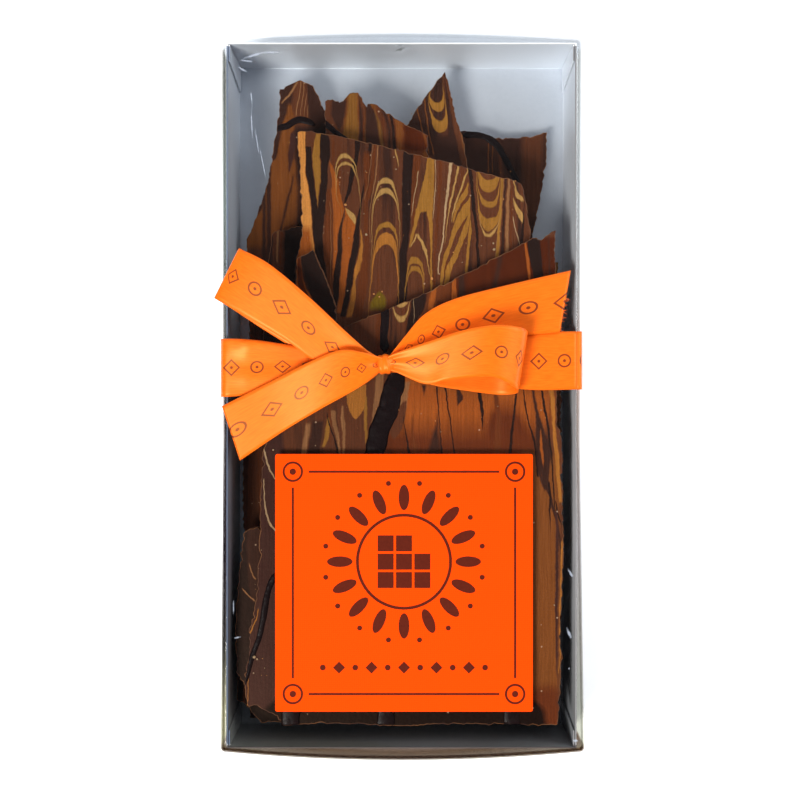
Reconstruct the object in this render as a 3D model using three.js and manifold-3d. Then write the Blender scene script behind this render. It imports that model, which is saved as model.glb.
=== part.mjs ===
// A gift box of chocolate bark, lying on its back, in millimetres with +Z up. A tray of silver
// card holds broken shards of bark in five layers. A clear lid slides down over the tray, a
// square label sits on the lid, and a satin ribbon runs round the box and ends in a bow.
// +Y points to the end where the tips of the bark show, and +X to the right of the label.

import * as THREE from "three";
import { mergeVertices } from "three/addons/utils/BufferGeometryUtils.js";
import Module from "manifold-3d";

const wasm = await Module();
wasm.setup();

// ---- Driving dimensions ----

const BOX_WIDTH = 101.6;
const BOX_LENGTH = 203.2;
const BOX_TOP = 32.2;
const CLEARANCE = 0.3;

const RIBBON_WIDTH = 16.5;
const RIBBON_THICK = 0.3;
const RIBBON_Y = 8.9;
const RIBBON_SLOPE = 0.021;
const BAND_RADIUS = 1.6;
const GATHERED = 4.4;
const GATHER_REACH = 46;
const KNOT_PLACE = [-4.6, 8.8, 3.37];
const KNOT_HALF = [2.6, 2.8, 3];
const KNOT_SQUARE = 0.7;
const KNOT_TURN = 0.07;

const FILM = 0.3;
const LID_BOTTOM = 1;
const LID_CORNER = 1.2;
const LID_BULGE_FAR = 3;
const LID_BULGE_NEAR = 4;
const WALL_BULGES = [[LID_BOTTOM, 0.55], [9, 0.8], [18, 1], [26, 0.85]];
const FOLD_HEIGHT = 2.2;
const FOLD_INSET_SIDE = 1.7;
const FOLD_INSET_END = 2.8;
const FOLD_BULGE = 0.6;
const FLARE_RIGHT = 1.3;
const FLARE_LEFT = 0.7;
const FLARE_FAR = 0.4;
const FLARE_FROM = -12;

const CARD = 0.6;
const TRAY_WIDTH = 99.8;
const TRAY_LENGTH = 201.2;
const TRAY_TOP = 30.5;

const LABEL_SIZE = 73;
const LABEL_CENTRE = [0.7, -53.1];
const LABEL_CORNER = 0.6;
const LABEL_THICK = 0.3;

const BARK_THICK = 4.8;
const LAYER_PITCH = 5.9;
const LOWEST_LAYER = 1.6;
const DRIZZLE_HEIGHT = 0.35;
const CHIP_LENGTH = 4.5;
const CHIP_DEPTH = 0.12;

const FOLD_STEPS = 5;
const CORNER_STEPS = 5;
const BULGE_STEPS = 10;
const GATHER_STEPS = 20;
const STRIP_STEPS = 26;

const RIBBON_UNDERSIDE = RIBBON_THICK + CLEARANCE;
const LABEL_Z = BOX_TOP + CLEARANCE;

// ---- Materials ----

function surface(colour, roughness, metalness = 0) {
  return new THREE.MeshStandardMaterial({ color: colour, roughness, metalness });
}

const silverCard = surface(0xb9bfc6, 0.35, 0.9);
const clearFilm = surface(0xe8eef2, 0.1);
clearFilm.transparent = true;
clearFilm.opacity = 0.25;
const orangeSatin = surface(0xff7a22, 0.4);
const orangePaper = surface(0xff5c12, 0.8);
const milkChocolate = surface(0x5c3220, 0.45);
const caramelChocolate = surface(0xa8672f, 0.45);
const darkChocolate = surface(0x3d2117, 0.4);

// ---- Solids and meshes ----

function solid(geometry) {
  const plain = geometry.clone();
  plain.deleteAttribute("normal");
  plain.deleteAttribute("uv");
  const merged = mergeVertices(plain, 1e-4);
  const vertProperties = merged.getAttribute("position").array;
  const triVerts = new Uint32Array(merged.index.array);
  return new wasm.Manifold(new wasm.Mesh({ numProp: 3, vertProperties, triVerts }));
}

function fused(geometries) {
  return geometries.map(solid).reduce((whole, piece) => whole.add(piece));
}

// Pockets that the crossing strips would seal are filled.
function filled(body) {
  const shells = body.decompose().filter((shell) => shell.volume() > 0);
  return shells.reduce((whole, shell) => whole.add(shell));
}

function geometryOf(body) {
  const mesh = body.getMesh();
  const geometry = new THREE.BufferGeometry();
  geometry.setAttribute("position", new THREE.BufferAttribute(mesh.vertProperties, 3));
  geometry.setIndex(new THREE.BufferAttribute(mesh.triVerts, 1));
  return geometry;
}

function named(name, geometry, material) {
  const mesh = new THREE.Mesh(geometry, material);
  mesh.name = name;
  return mesh;
}

// ---- Tray: a floor and four full-height walls of silver card ----

function rectangle(width, length) {
  const shape = new THREE.Shape();
  shape.moveTo(-width / 2, -length / 2);
  shape.lineTo(width / 2, -length / 2);
  shape.lineTo(width / 2, length / 2);
  shape.lineTo(-width / 2, length / 2);
  shape.closePath();
  return shape;
}

function slab(shape, bottom, top) {
  const geometry = new THREE.ExtrudeGeometry(shape, { depth: top - bottom, bevelEnabled: false });
  return geometry.translate(0, 0, bottom);
}

function tray() {
  const outside = slab(rectangle(TRAY_WIDTH, TRAY_LENGTH), RIBBON_UNDERSIDE, TRAY_TOP);
  const hollow = rectangle(TRAY_WIDTH - 2 * CARD, TRAY_LENGTH - 2 * CARD);
  const inside = slab(hollow, RIBBON_UNDERSIDE + CARD, TRAY_TOP + 1);
  return named("tray", geometryOf(solid(outside).subtract(solid(inside))), silverCard);
}

// ---- Lid: folded clear film, soft along its folds, its two ends bulging outwards ----

// One level of the lid's outline, counted round from the far right corner. `fold` is how far
// this level has gone round the fold into the flat top, and `bulge` how far the ends stand out.
// From the ribbon the side walls flare a little towards each end, most at the near right corner.
function lidRing(z, shrink, fold, bulge) {
  const halfX = BOX_WIDTH / 2 - shrink - FOLD_INSET_SIDE * fold;
  const halfY = BOX_LENGTH / 2 - shrink - FOLD_INSET_END * fold;
  const flare = (sx, sy) => (sy > 0 ? FLARE_FAR : sx > 0 ? FLARE_RIGHT : FLARE_LEFT);
  const ring = [];
  const turn = (sx, sy, from) => {
    for (let i = 0; i <= CORNER_STEPS; i++) {
      const angle = from + (i / CORNER_STEPS) * (Math.PI / 2);
      const x = sx * (halfX - LID_CORNER + flare(sx, sy)) + LID_CORNER * Math.cos(angle);
      ring.push(new THREE.Vector3(x, sy * (halfY - LID_CORNER) + LID_CORNER * Math.sin(angle), z));
    }
  };
  const end = (sy, reach) => {
    for (let i = 1; i < BULGE_STEPS; i++) {
      const share = sy * (1 - (2 * i) / BULGE_STEPS);
      const x = share * (halfX - LID_CORNER + flare(share, sy));
      ring.push(new THREE.Vector3(x, sy * (halfY + reach * bulge * (1 - share ** 2)), z));
    }
  };
  turn(1, 1, 0);
  end(1, LID_BULGE_FAR);
  turn(-1, 1, Math.PI / 2);
  ring.push(new THREE.Vector3(-halfX, FLARE_FROM, z));
  turn(-1, -1, Math.PI);
  end(-1, LID_BULGE_NEAR);
  turn(1, -1, 1.5 * Math.PI);
  ring.push(new THREE.Vector3(halfX, FLARE_FROM, z));
  return ring;
}

// The levels of one face of the film, from the open rim up the walls and over the fold.
function lidLevels(shrink) {
  const shoulder = BOX_TOP - FOLD_HEIGHT;
  const walls = WALL_BULGES.map(([z, bulge]) => lidRing(z, shrink, 0, bulge));
  const folds = [];
  for (let i = 0; i <= FOLD_STEPS; i++) {
    const angle = (i / FOLD_STEPS) * (Math.PI / 2);
    const z = shoulder + (FOLD_HEIGHT - shrink) * Math.sin(angle);
    folds.push(lidRing(z, shrink, 1 - Math.cos(angle), FOLD_BULGE * Math.cos(angle)));
  }
  return [...walls, ...folds];
}

// A closed skin: up the outside, across the top, and down the inside back to the rim.
function lid() {
  const outside = lidLevels(0);
  const inside = lidLevels(FILM).reverse();
  const count = outside[0].length;
  const rings = [...outside, ...inside];
  const points = rings.flat();
  const faces = [];
  const join = (low, high) => {
    for (let i = 0; i < count; i++) {
      const next = (i + 1) % count;
      const [a, b] = [low * count + i, low * count + next];
      const [c, d] = [high * count + next, high * count + i];
      faces.push(a, b, c, a, c, d);
    }
  };
  const cover = (ring, upward) => {
    const centre = points.length;
    points.push(new THREE.Vector3(0, 0, rings[ring][0].z));
    for (let i = 0; i < count; i++) {
      const pair = [ring * count + i, ring * count + ((i + 1) % count)];
      faces.push(...(upward ? pair : pair.reverse()), centre);
    }
  };
  for (let ring = 0; ring < outside.length - 1; ring++) join(ring, ring + 1);
  cover(outside.length - 1, true);
  cover(outside.length, false);
  for (let ring = outside.length; ring < rings.length - 1; ring++) join(ring, ring + 1);
  join(rings.length - 1, 0);
  const geometry = new THREE.BufferGeometry().setFromPoints(points).setIndex(faces);
  return named("lid", geometry, clearFilm);
}

// ---- Bark: shards broken from a sheet, with the thick drizzle fused on ----

// The corners run round each shard, and `drizzle` gives each line's width and its points.
const SHARDS = [
  {
    name: "bark_front", layer: 4, material: milkChocolate,
    corners: [
      [-16.1, 19.8], [7.3, 29.2], [34.4, 43.2], [37.5, 44.9], [39.8, 44.4], [43.8, 47.2],
      [44.1, 27.2], [44.4, -8.1], [45.8, -12.7], [46.3, -42.6], [45.2, -69.7], [45.8, -74.9],
      [44.6, -94], [19.5, -93.7], [1, -94.3], [-20.4, -93.4], [-33.5, -94.2], [-36.1, -90.8],
      [-44.1, -88.6], [-44.9, -82.3], [-43.2, -72.6], [-43.4, -67.5], [-41.2, -56],
      [-40.6, -42.6], [-39.8, -16.1], [-31.8, 0.4], [-22.7, 10.1],
    ],
    drizzle: [
      [2.4, [-4.8, 23.8], [-4.7, 21], [-5.1, 16.7], [-4.4, 12.4]],
      [5.6, [-0.7, 8.4], [-1.6, 4.4], [-3.1, -1.3], [-5, -7], [-6.8, -12.7], [-8.4, -19],
       [-10.1, -29.8]],
      [1.7, [-35.8, -50.6], [-38, -55.5], [-39.4, -62.6], [-40.6, -68.8], [-42.6, -74.6],
       [-44.3, -80]],
      [5, [-31.8, -84], [-31.7, -89.1], [-31.7, -93.1]],
      [5.6, [-4.4, -84], [-4.4, -89.1], [-4.4, -93.1]],
      [4.8, [31.5, -84], [31.5, -89.1], [31.7, -93.1]],
    ],
  },
  {
    name: "bark_small_front", layer: 4, material: caramelChocolate,
    corners: [
      [-30.1, 39.2], [-25.2, 41.5], [-21.8, 34.4], [-18.9, 26], [-18.5, 21.4],
      [-24.2, 13], [-28.9, 15.8], [-29.8, 27.2],
    ],
    drizzle: [],
  },
  {
    name: "bark_middle", layer: 3, material: milkChocolate,
    corners: [
      [-30.2, 76.5], [-28.8, 77.1], [-12, 73.9], [11.1, 68.2], [34.9, 61.5], [36.3, 55.1],
      [37.2, 46.4], [38.3, 19], [36.6, -59.2], [8.2, -63.5], [-29.4, -59.2], [-31.7, -18.7],
      [-31.4, 19], [-30.5, 39.2], [-28.8, 46.4], [-29.4, 62.4],
    ],
    drizzle: [],
  },
  {
    name: "bark_low_left", layer: 3, material: darkChocolate,
    corners: [
      [-45.6, -39.5], [-41.8, -38.1], [-34.3, -46.2], [-34.4, -84.8], [-45, -84.5],
      [-47.9, -80], [-48.1, -62.1], [-47, -51.9],
    ],
    drizzle: [],
  },
  {
    name: "bark_left", layer: 2, material: darkChocolate,
    corners: [
      [-38, 47.7], [-29.8, 49.8], [-24.9, 45.7], [-24.9, -24.8], [-38.6, -30.7],
      [-41, -1.3], [-40.4, 28],
    ],
    drizzle: [],
  },
  {
    name: "bark_rear_centre", layer: 2, material: caramelChocolate,
    corners: [
      [-22.5, 86.5], [-20.1, 87], [-18.1, 85.9], [-14.5, 89.1], [-12.8, 88.8], [-10.4, 85.6],
      [-8.1, 85.9], [-1.9, 81.5], [7.8, 76.5], [7.2, -21.9], [-19.5, -24.8], [-21.9, 28],
    ],
    drizzle: [
      [1.8, [-22.3, 79.9], [-20.1, 78], [-16.6, 75.3], [-13.4, 73]],
    ],
  },
  {
    name: "bark_low_right", layer: 2, material: caramelChocolate,
    corners: [
      [11.3, 28], [34.8, 37.4], [42.1, 39.2], [46.2, 39.2], [46.5, 19.2], [47, -36.6],
      [46.5, -71.8], [45.4, -95.9], [10.6, -94.7],
    ],
    drizzle: [],
  },
  {
    name: "bark_low_centre", layer: 2, material: darkChocolate,
    corners: [
      [-47.7, -71.8], [-29.8, -63], [6.6, -65.9], [7.8, -93.8], [-21, -95.9],
      [-41, -95.9], [-45.9, -90.6], [-48.4, -89.4],
    ],
    drizzle: [],
  },
  {
    name: "bark_rear_left", layer: 1, material: milkChocolate,
    corners: [
      [-36.2, 91.3], [-30.2, 94.2], [-26.4, 92.5], [-22.5, 84.4], [-4.6, 58.2], [-4, -57.9],
      [-42.1, -57.9], [-47.2, -38.6], [-47.2, -1.3], [-45.1, 19.5], [-46.6, 39.8],
      [-46, 46.3], [-41.5, 58.2], [-39.2, 67.1], [-37.1, 79.1],
    ],
    drizzle: [
      [1.9, [-37.1, 79.5], [-35.9, 79.8], [-33.9, 80.4], [-32, 81.7], [-30.1, 82.2],
       [-27.8, 81.7], [-25.8, 80.6]],
    ],
  },
  {
    name: "bark_pointed", layer: 1, material: caramelChocolate,
    corners: [
      [13, 96.6], [15.9, 85], [18, 77.6], [20.4, 65.7], [30.8, 28.4], [32.9, -49],
      [0.1, -49], [-1.6, 28.4], [-0.4, 79.1], [1.6, 80.5], [7.3, 89.5],
    ],
    drizzle: [],
  },
  {
    name: "bark_rear_right", layer: 0, material: darkChocolate,
    corners: [
      [11.6, 79.3], [19.2, 79.9], [23.7, 79.6], [26.7, 78.1], [35.8, 77.8], [38.8, 78.1],
      [43.9, 79.6], [43.9, 72.6], [43, 66.6], [40.9, 54.5], [38.2, 40.9], [35.8, -31.6],
      [2.6, -31.6], [1.1, 28.8],
    ],
    drizzle: [
      [2, [18.6, 78.7], [22.3, 78.9], [26, 77.9], [29, 75.5], [31.4, 71.3], [34.1, 66.5],
       [35.5, 63.3]],
    ],
  },
  {
    name: "bark_lowest", layer: 0, material: milkChocolate,
    corners: [
      [-47, -49.7], [5.6, -43.6], [45.4, -37.6], [46.7, -61.8], [45.4, -98],
      [-0.5, -98.6], [-45.7, -97.4],
    ],
    drizzle: [],
  },
];

// How far the broken edge stands out at a place, from three waves that never line up.
function chip(x, y, seed) {
  const slow = Math.sin(0.31 * x - 0.27 * y + seed);
  const middle = Math.sin(0.83 * x + 0.71 * y + 2.1 * seed);
  const quick = Math.sin(1.9 * x - 2.3 * y + 3.7 * seed);
  return CHIP_DEPTH * (0.5 * slow + 0.35 * middle + 0.35 * quick);
}

function brokenOutline(corners, seed) {
  const outline = [];
  corners.forEach((corner, i) => {
    const from = new THREE.Vector2(...corner);
    const to = new THREE.Vector2(...corners[(i + 1) % corners.length]);
    const outward = new THREE.Vector2(from.y - to.y, to.x - from.x).normalize();
    const steps = Math.max(1, Math.round(from.distanceTo(to) / CHIP_LENGTH));
    for (let k = 0; k < steps; k++) {
      const point = from.clone().lerp(to, k / steps);
      outline.push(point.addScaledVector(outward, chip(point.x, point.y, seed)));
    }
  });
  return outline;
}

// A drizzled line is a tube with a flattened section, half sunk into the top of its shard.
function drizzle([width, ...points], top) {
  const section = new THREE.Shape();
  section.absellipse(0, 0, DRIZZLE_HEIGHT, width / 2, 0, 2 * Math.PI, true);
  const path = new THREE.CatmullRomCurve3(points.map(([x, y]) => new THREE.Vector3(x, y, top)));
  const steps = Math.max(3, Math.round(path.getLength() / 5));
  const options = { steps, extrudePath: path, curveSegments: 4, bevelEnabled: false };
  return new THREE.ExtrudeGeometry(section, options);
}

function shard({ name, layer, material, corners, drizzle: lines }, seed) {
  const bottom = LOWEST_LAYER + layer * LAYER_PITCH;
  const top = bottom + BARK_THICK;
  const sheet = slab(new THREE.Shape(brokenOutline(corners, seed)), bottom, top);
  const body = fused([sheet, ...lines.map((line) => drizzle(line, top))]);
  return named(name, geometryOf(body), material);
}

// ---- Label: one square of stiff paper with clipped corners ----

function label() {
  const half = LABEL_SIZE / 2;
  const inner = half - LABEL_CORNER;
  const shape = new THREE.Shape();
  shape.absarc(inner, inner, LABEL_CORNER, 0, Math.PI / 2);
  shape.absarc(-inner, inner, LABEL_CORNER, Math.PI / 2, Math.PI);
  shape.absarc(-inner, -inner, LABEL_CORNER, Math.PI, 1.5 * Math.PI);
  shape.absarc(inner, -inner, LABEL_CORNER, 1.5 * Math.PI, 2 * Math.PI);
  const options = { depth: LABEL_THICK, bevelEnabled: false, curveSegments: 3 };
  const sheet = new THREE.ExtrudeGeometry(shape, options);
  return named("label", sheet.translate(...LABEL_CENTRE, LABEL_Z), orangePaper);
}

// ---- Ribbon: a band round the box, a knot on it, two loops and two tails ----

function bandOutline(grow, radius) {
  const halfX = BOX_WIDTH / 2 + CLEARANCE + grow;
  const low = RIBBON_THICK - grow;
  const high = BOX_TOP + CLEARANCE + grow;
  const shape = new THREE.Path();
  shape.absarc(halfX - radius, high - radius, radius, 0, Math.PI / 2);
  for (let i = 1; i < GATHER_STEPS; i++) {
    shape.lineTo((halfX - radius) * (1 - (2 * i) / GATHER_STEPS), high);
  }
  shape.absarc(radius - halfX, high - radius, radius, Math.PI / 2, Math.PI);
  shape.absarc(radius - halfX, low + radius, radius, Math.PI, 1.5 * Math.PI);
  shape.absarc(halfX - radius, low + radius, radius, 1.5 * Math.PI, 2 * Math.PI);
  return shape.getPoints(4);
}

// The band is extruded along its width and laid on the box. On the lid it is drawn together
// towards the knot, and it is sheared, because it runs a little uphill.
function band() {
  const shape = new THREE.Shape(bandOutline(RIBBON_THICK, BAND_RADIUS));
  shape.holes.push(new THREE.Path(bandOutline(0, BAND_RADIUS - RIBBON_THICK)));
  const options = { depth: RIBBON_WIDTH, bevelEnabled: false };
  const geometry = new THREE.ExtrudeGeometry(shape, options).rotateX(Math.PI / 2);
  geometry.translate(0, RIBBON_WIDTH / 2, 0);
  const place = geometry.getAttribute("position");
  for (let i = 0; i < place.count; i++) {
    if (place.getZ(i) < BOX_TOP + CLEARANCE - 0.01) continue;
    const away = Math.min(1, Math.abs(place.getX(i) - KNOT_PLACE[0]) / GATHER_REACH);
    const full = THREE.MathUtils.smoothstep(away, 0, 1);
    const share = THREE.MathUtils.lerp(GATHERED / RIBBON_WIDTH, 1, full);
    place.setY(i, place.getY(i) * share);
  }
  const shear = new THREE.Matrix4().makeShear(RIBBON_SLOPE, 0, 0, 0, 0, 0);
  return geometry.applyMatrix4(shear).translate(0, RIBBON_Y, 0);
}

// A strip of ribbon. Each station gives its two edges as [x, y, height over the lid].
function strip(stations, steps = STRIP_STEPS) {
  const above = ([x, y, height]) => new THREE.Vector3(x, y, BOX_TOP + height);
  const left = new THREE.CatmullRomCurve3(stations.map(([edge]) => above(edge)));
  const right = new THREE.CatmullRomCurve3(stations.map(([, edge]) => above(edge)));
  const geometry = new THREE.BoxGeometry(1, 1, 1, steps, 2, 1);
  const place = geometry.getAttribute("position");
  for (let i = 0; i < place.count; i++) {
    const along = place.getX(i) + 0.5;
    const across = right.getPoint(along).sub(left.getPoint(along));
    const ahead = left.getTangent(along).add(right.getTangent(along));
    const face = ahead.cross(across).normalize();
    const point = left.getPoint(along).addScaledVector(across, place.getY(i) + 0.5);
    point.addScaledVector(face, place.getZ(i) * RIBBON_THICK);
    place.setXYZ(i, point.x, point.y, point.z);
  }
  return geometry;
}

// The knot is a squarish lump, drawn in at the sides where the loops leave it.
function knot() {
  const geometry = new THREE.SphereGeometry(1, 16, 10).rotateX(Math.PI / 2);
  const place = geometry.getAttribute("position");
  const square = (value) => Math.sign(value) * Math.abs(value) ** KNOT_SQUARE;
  for (let i = 0; i < place.count; i++) {
    place.setXYZ(i, square(place.getX(i)), square(place.getY(i)), square(place.getZ(i)));
  }
  const [x, y, height] = KNOT_PLACE;
  return geometry.scale(...KNOT_HALF).rotateZ(KNOT_TURN).translate(x, y, BOX_TOP + height);
}

const LEFT_LOOP = [
  [[-4.9, 9.7, 1.5], [-4.9, 7.9, 1.4]],
  [[-16, 17, 1.6], [-22, 9, 1.5]],
  [[-28.5, 28, 1.7], [-35.6, 16.5, 1.5]],
  [[-40.4, 37.6, 2], [-47.5, 24.2, 1.8]],
  [[-44.4, 40.7, 3], [-51.6, 26.7, 2.7]],
  [[-45, 41, 4.6], [-51.9, 26.9, 4.2]],
  [[-36.8, 36.6, 6.2], [-43.3, 21.9, 5.4]],
  [[-25.5, 27.2, 6.4], [-32.5, 15.5, 5.4]],
  [[-15.7, 18, 5.6], [-22.8, 8.9, 4.2]],
  [[-8.3, 11.6, 4.2], [-10.2, 6.6, 3.1]],
  [[-4.9, 9.9, 3.2], [-4.9, 7.7, 2.9]],
];

const RIGHT_LOOP = [
  [[-4.3, 9.8, 1.6], [-4.3, 7.8, 1.5]],
  [[8, 12.8, 1.4], [8, 3.2, 1.3]],
  [[20.8, 14.2, 1.2], [19.4, 1.2, 1.2]],
  [[29.2, 16.2, 1.6], [27.9, 0.2, 1.4]],
  [[34.8, 17, 5.2], [32.4, 0.7, 4.4]],
  [[33.4, 18.7, 9.6], [30.9, 2.6, 8.2]],
  [[26.3, 19.4, 11.8], [24.4, 5.1, 10.6]],
  [[17.5, 18.1, 11.2], [13.4, 4.3, 9.8]],
  [[7.9, 15.1, 9], [6.5, 3.2, 7.7]],
  [[-1.2, 12, 6.2], [-1.6, 6.6, 5.6]],
  [[-4.3, 10.5, 5], [-4.3, 7.3, 4.8]],
];

const LEFT_TAIL = [
  [[-4.9, 10.4, 5], [-4.9, 7.2, 4.7]],
  [[-11, 12.1, 7.4], [-9.9, 3.5, 5.4]],
  [[-17.2, 12.6, 7.8], [-15.9, -0.1, 5.4]],
  [[-25.3, 9.6, 6.6], [-23.5, -4.3, 4.6]],
  [[-37, 3.8, 3.6], [-33.1, -10, 2.7]],
  [[-50.8, -3, 1.4], [-45.7, -18.4, 1.1]],
];

const RIGHT_TAIL = [
  [[-4.3, 10.1, 3.3], [-4.3, 7.9, 2.8]],
  [[1, 16.7, 4.4], [2.9, 10, 2.8]],
  [[6.6, 22.9, 4.2], [8.6, 10.9, 2.4]],
  [[15, 27.2, 3.2], [19.3, 12.8, 2.2]],
  [[29.2, 31, 2.4], [32.1, 16.4, 2.4]],
  [[47.9, 35.4, 1.3], [44.8, 17.9, 1.5]],
];

function ribbon() {
  const strips = [LEFT_LOOP, RIGHT_LOOP, LEFT_TAIL, RIGHT_TAIL].map((stations) => strip(stations));
  const body = filled(fused([band(), knot(), ...strips]));
  return named("ribbon", geometryOf(body), orangeSatin);
}

// ---- The whole pack, its box centred over the origin ----

const pack = new THREE.Group();
pack.add(tray(), lid(), label(), ribbon());
SHARDS.forEach((piece, i) => pack.add(shard(piece, i + 1)));
const box = new THREE.Box3().setFromObject(pack, true);
const centre = box.getCenter(new THREE.Vector3());
pack.position.set(-centre.x, -centre.y, -box.min.z);

export default pack;
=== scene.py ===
# A gift box of chocolate bark, lying on its back with its clear lid up: marbled shards in a tray
# of silver card, a square label on the lid, and a satin ribbon tied in a bow. The tables are in
# millimetres from the middle of the tray, and the meshes in metres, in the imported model's frame.

import math
import random

import bmesh
import bpy
from mathutils import Matrix, Vector, geometry, noise


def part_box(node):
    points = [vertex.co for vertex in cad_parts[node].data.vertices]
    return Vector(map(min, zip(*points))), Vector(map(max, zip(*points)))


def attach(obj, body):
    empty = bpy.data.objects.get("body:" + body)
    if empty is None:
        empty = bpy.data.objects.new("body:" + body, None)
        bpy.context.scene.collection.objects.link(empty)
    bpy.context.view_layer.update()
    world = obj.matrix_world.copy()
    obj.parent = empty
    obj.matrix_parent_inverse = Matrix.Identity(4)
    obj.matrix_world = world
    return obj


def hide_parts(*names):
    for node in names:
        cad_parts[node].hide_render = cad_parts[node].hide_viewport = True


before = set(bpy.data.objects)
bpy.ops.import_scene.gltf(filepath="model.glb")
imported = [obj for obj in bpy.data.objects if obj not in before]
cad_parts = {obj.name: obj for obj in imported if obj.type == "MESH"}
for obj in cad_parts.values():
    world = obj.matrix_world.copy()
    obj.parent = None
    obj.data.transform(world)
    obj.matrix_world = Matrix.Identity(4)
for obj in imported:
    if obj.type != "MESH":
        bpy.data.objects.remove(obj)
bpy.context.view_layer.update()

scene = bpy.context.scene

# ---- Floor, lamps and camera ----
# A photographer's table: a white board lit a little from below, a large soft box high at the
# front left, a weaker one and a pale wall at the rear right, and a camera straight above.

MM = 0.001
TRAY_LOW, TRAY_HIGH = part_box("tray")
CENTRE = (TRAY_LOW + TRAY_HIGH) / 2
LID_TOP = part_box("lid")[1].z / MM

CAMERA_DISTANCE = 400
CAMERA_PLACE = (-0.43, -1.28)
SENSOR = 36
VIEW_WIDTH = 227.04


def spot(x, y, z):
    """A point given in millimetres from the middle of the tray, in metres in the frame."""
    return Vector((CENTRE.x + x * MM, CENTRE.y + y * MM, z * MM))


def linear(hex_colour):
    """An sRGB hex colour as the linear colour that Blender's nodes take."""
    channels = [int(hex_colour[i : i + 2], 16) / 255 for i in (1, 3, 5)]
    return [c / 12.92 if c <= 0.04045 else ((c + 0.055) / 1.055) ** 2.4 for c in channels] + [1]


def add(tree, kind, settings=None, inputs=None):
    """Adds one node, sets its properties and fills or links its inputs."""
    node = tree.nodes.new("ShaderNode" + kind)
    for name, value in (settings or {}).items():
        setattr(node, name, value)
    for key, value in (inputs or {}).items():
        if isinstance(value, bpy.types.NodeSocket):
            tree.links.new(value, node.inputs[key])
        else:
            node.inputs[key].default_value = value
    return node


def new_finish(name):
    material = bpy.data.materials.new(name)
    material.use_nodes = True
    material.node_tree.nodes.clear()
    return material, material.node_tree


def piece(name, bm, materials):
    """Turns a finished bmesh, in metres in the frame, into an object at the origin."""
    mesh = bpy.data.meshes.new(name)
    bm.to_mesh(mesh)
    bm.free()
    for material in materials:
        mesh.materials.append(material)
    made = bpy.data.objects.new(name, mesh)
    scene.collection.objects.link(made)
    return made


FLOOR_SIZE = 6
board, tree = new_finish("opal_acrylic_board")
grain = add(tree, "TexNoise", {}, {"Scale": 900.0, "Detail": 2.0})
tint = add(tree, "ValToRGB", {}, {"Fac": grain.outputs["Fac"]})
tint.color_ramp.elements[0].color = linear("#f6f6f6")
tint.color_ramp.elements[1].color = linear("#fbfbfb")
matt = add(tree, "BsdfDiffuse", {}, {"Color": tint.outputs["Color"]})
lit = add(tree, "Emission", {}, {"Color": linear("#ffffff"), "Strength": 0.4})
shader = add(tree, "AddShader", {}, {0: matt.outputs[0], 1: lit.outputs[0]})
add(tree, "OutputMaterial", {}, {"Surface": shader.outputs[0]})

bm = bmesh.new()
bmesh.ops.create_grid(bm, x_segments=1, y_segments=1, size=FLOOR_SIZE / 2)
bmesh.ops.translate(bm, vec=(0, 0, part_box("ribbon")[0].z - 0.0001), verts=bm.verts)
floor = piece("floor", bm, [board])


def soft_box(name, place, size, watts, colour):
    """A square area lamp aimed at the middle of the box."""
    lamp = bpy.data.lights.new(name, "AREA")
    lamp.shape = "RECTANGLE"
    lamp.size, lamp.size_y = size
    lamp.energy = watts
    lamp.color = linear(colour)[:3]
    holder = bpy.data.objects.new(name, lamp)
    holder.location = place
    holder.rotation_mode = "QUATERNION"
    holder.rotation_quaternion = (-Vector(place)).to_track_quat("-Z", "Y")
    scene.collection.objects.link(holder)


soft_box("front_left_soft_box", (-0.46, -0.48, 0.90), (0.4, 0.4), 15.7, "#fffdf8")
soft_box("right_fill", (0.9, 0.3, 0.75), (0.6, 0.6), 8, "#f4f8ff")

BRIGHT_WALL = (0.55, 0.76, -0.35)
world = bpy.data.worlds.new("studio")
world.use_nodes = True
tree = world.node_tree
way = add(tree, "TexCoord").outputs["Generated"]
facing = add(tree, "VectorMath", {"operation": "DOT_PRODUCT"}, {0: way, 1: BRIGHT_WALL}).outputs["Value"]
walls = add(tree, "ValToRGB", {}, {"Fac": add(tree, "MapRange", {}, {
    "Value": facing, 1: -1.0, 2: 1.0,
}).outputs[0]})
walls.color_ramp.elements[0].position, walls.color_ramp.elements[1].position = 0.26, 0.8
walls.color_ramp.elements[0].color = linear("#3a3f47")
walls.color_ramp.elements[1].color = linear("#f2f5fa")
tree.links.new(walls.outputs["Color"], tree.nodes["Background"].inputs["Color"])
tree.nodes["Background"].inputs["Strength"].default_value = 0.9
scene.world = world

camera = bpy.data.cameras.new("camera")
camera.sensor_width = SENSOR
camera.lens = SENSOR * CAMERA_DISTANCE / VIEW_WIDTH
camera_holder = bpy.data.objects.new("camera", camera)
camera_holder.location = spot(*CAMERA_PLACE, LID_TOP + CAMERA_DISTANCE)
scene.collection.objects.link(camera_holder)
scene.camera = camera_holder
scene.view_settings.view_transform = "Standard"

# ---- Tray ----
# A folded tray of board laminated with silver foil: a floor, four walls as high as the lid, and
# glue tabs inside the corners. The foil mirrors the bark softly, with faint ripples in it.

CARD = 0.6
TRAY_BOTTOM, TRAY_TOP = TRAY_LOW.z / MM, TRAY_HIGH.z / MM
TRAY_HALF_X = (TRAY_HIGH.x - TRAY_LOW.x) / 2 / MM
TRAY_HALF_Y = (TRAY_HIGH.y - TRAY_LOW.y) / 2 / MM
TAB_LENGTH = 7.5
TAB_SLANT = 3
TAB_THICK = 0.35
RIPPLE_MM = 22
FOIL_GRAIN_MM = 0.8


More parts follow.
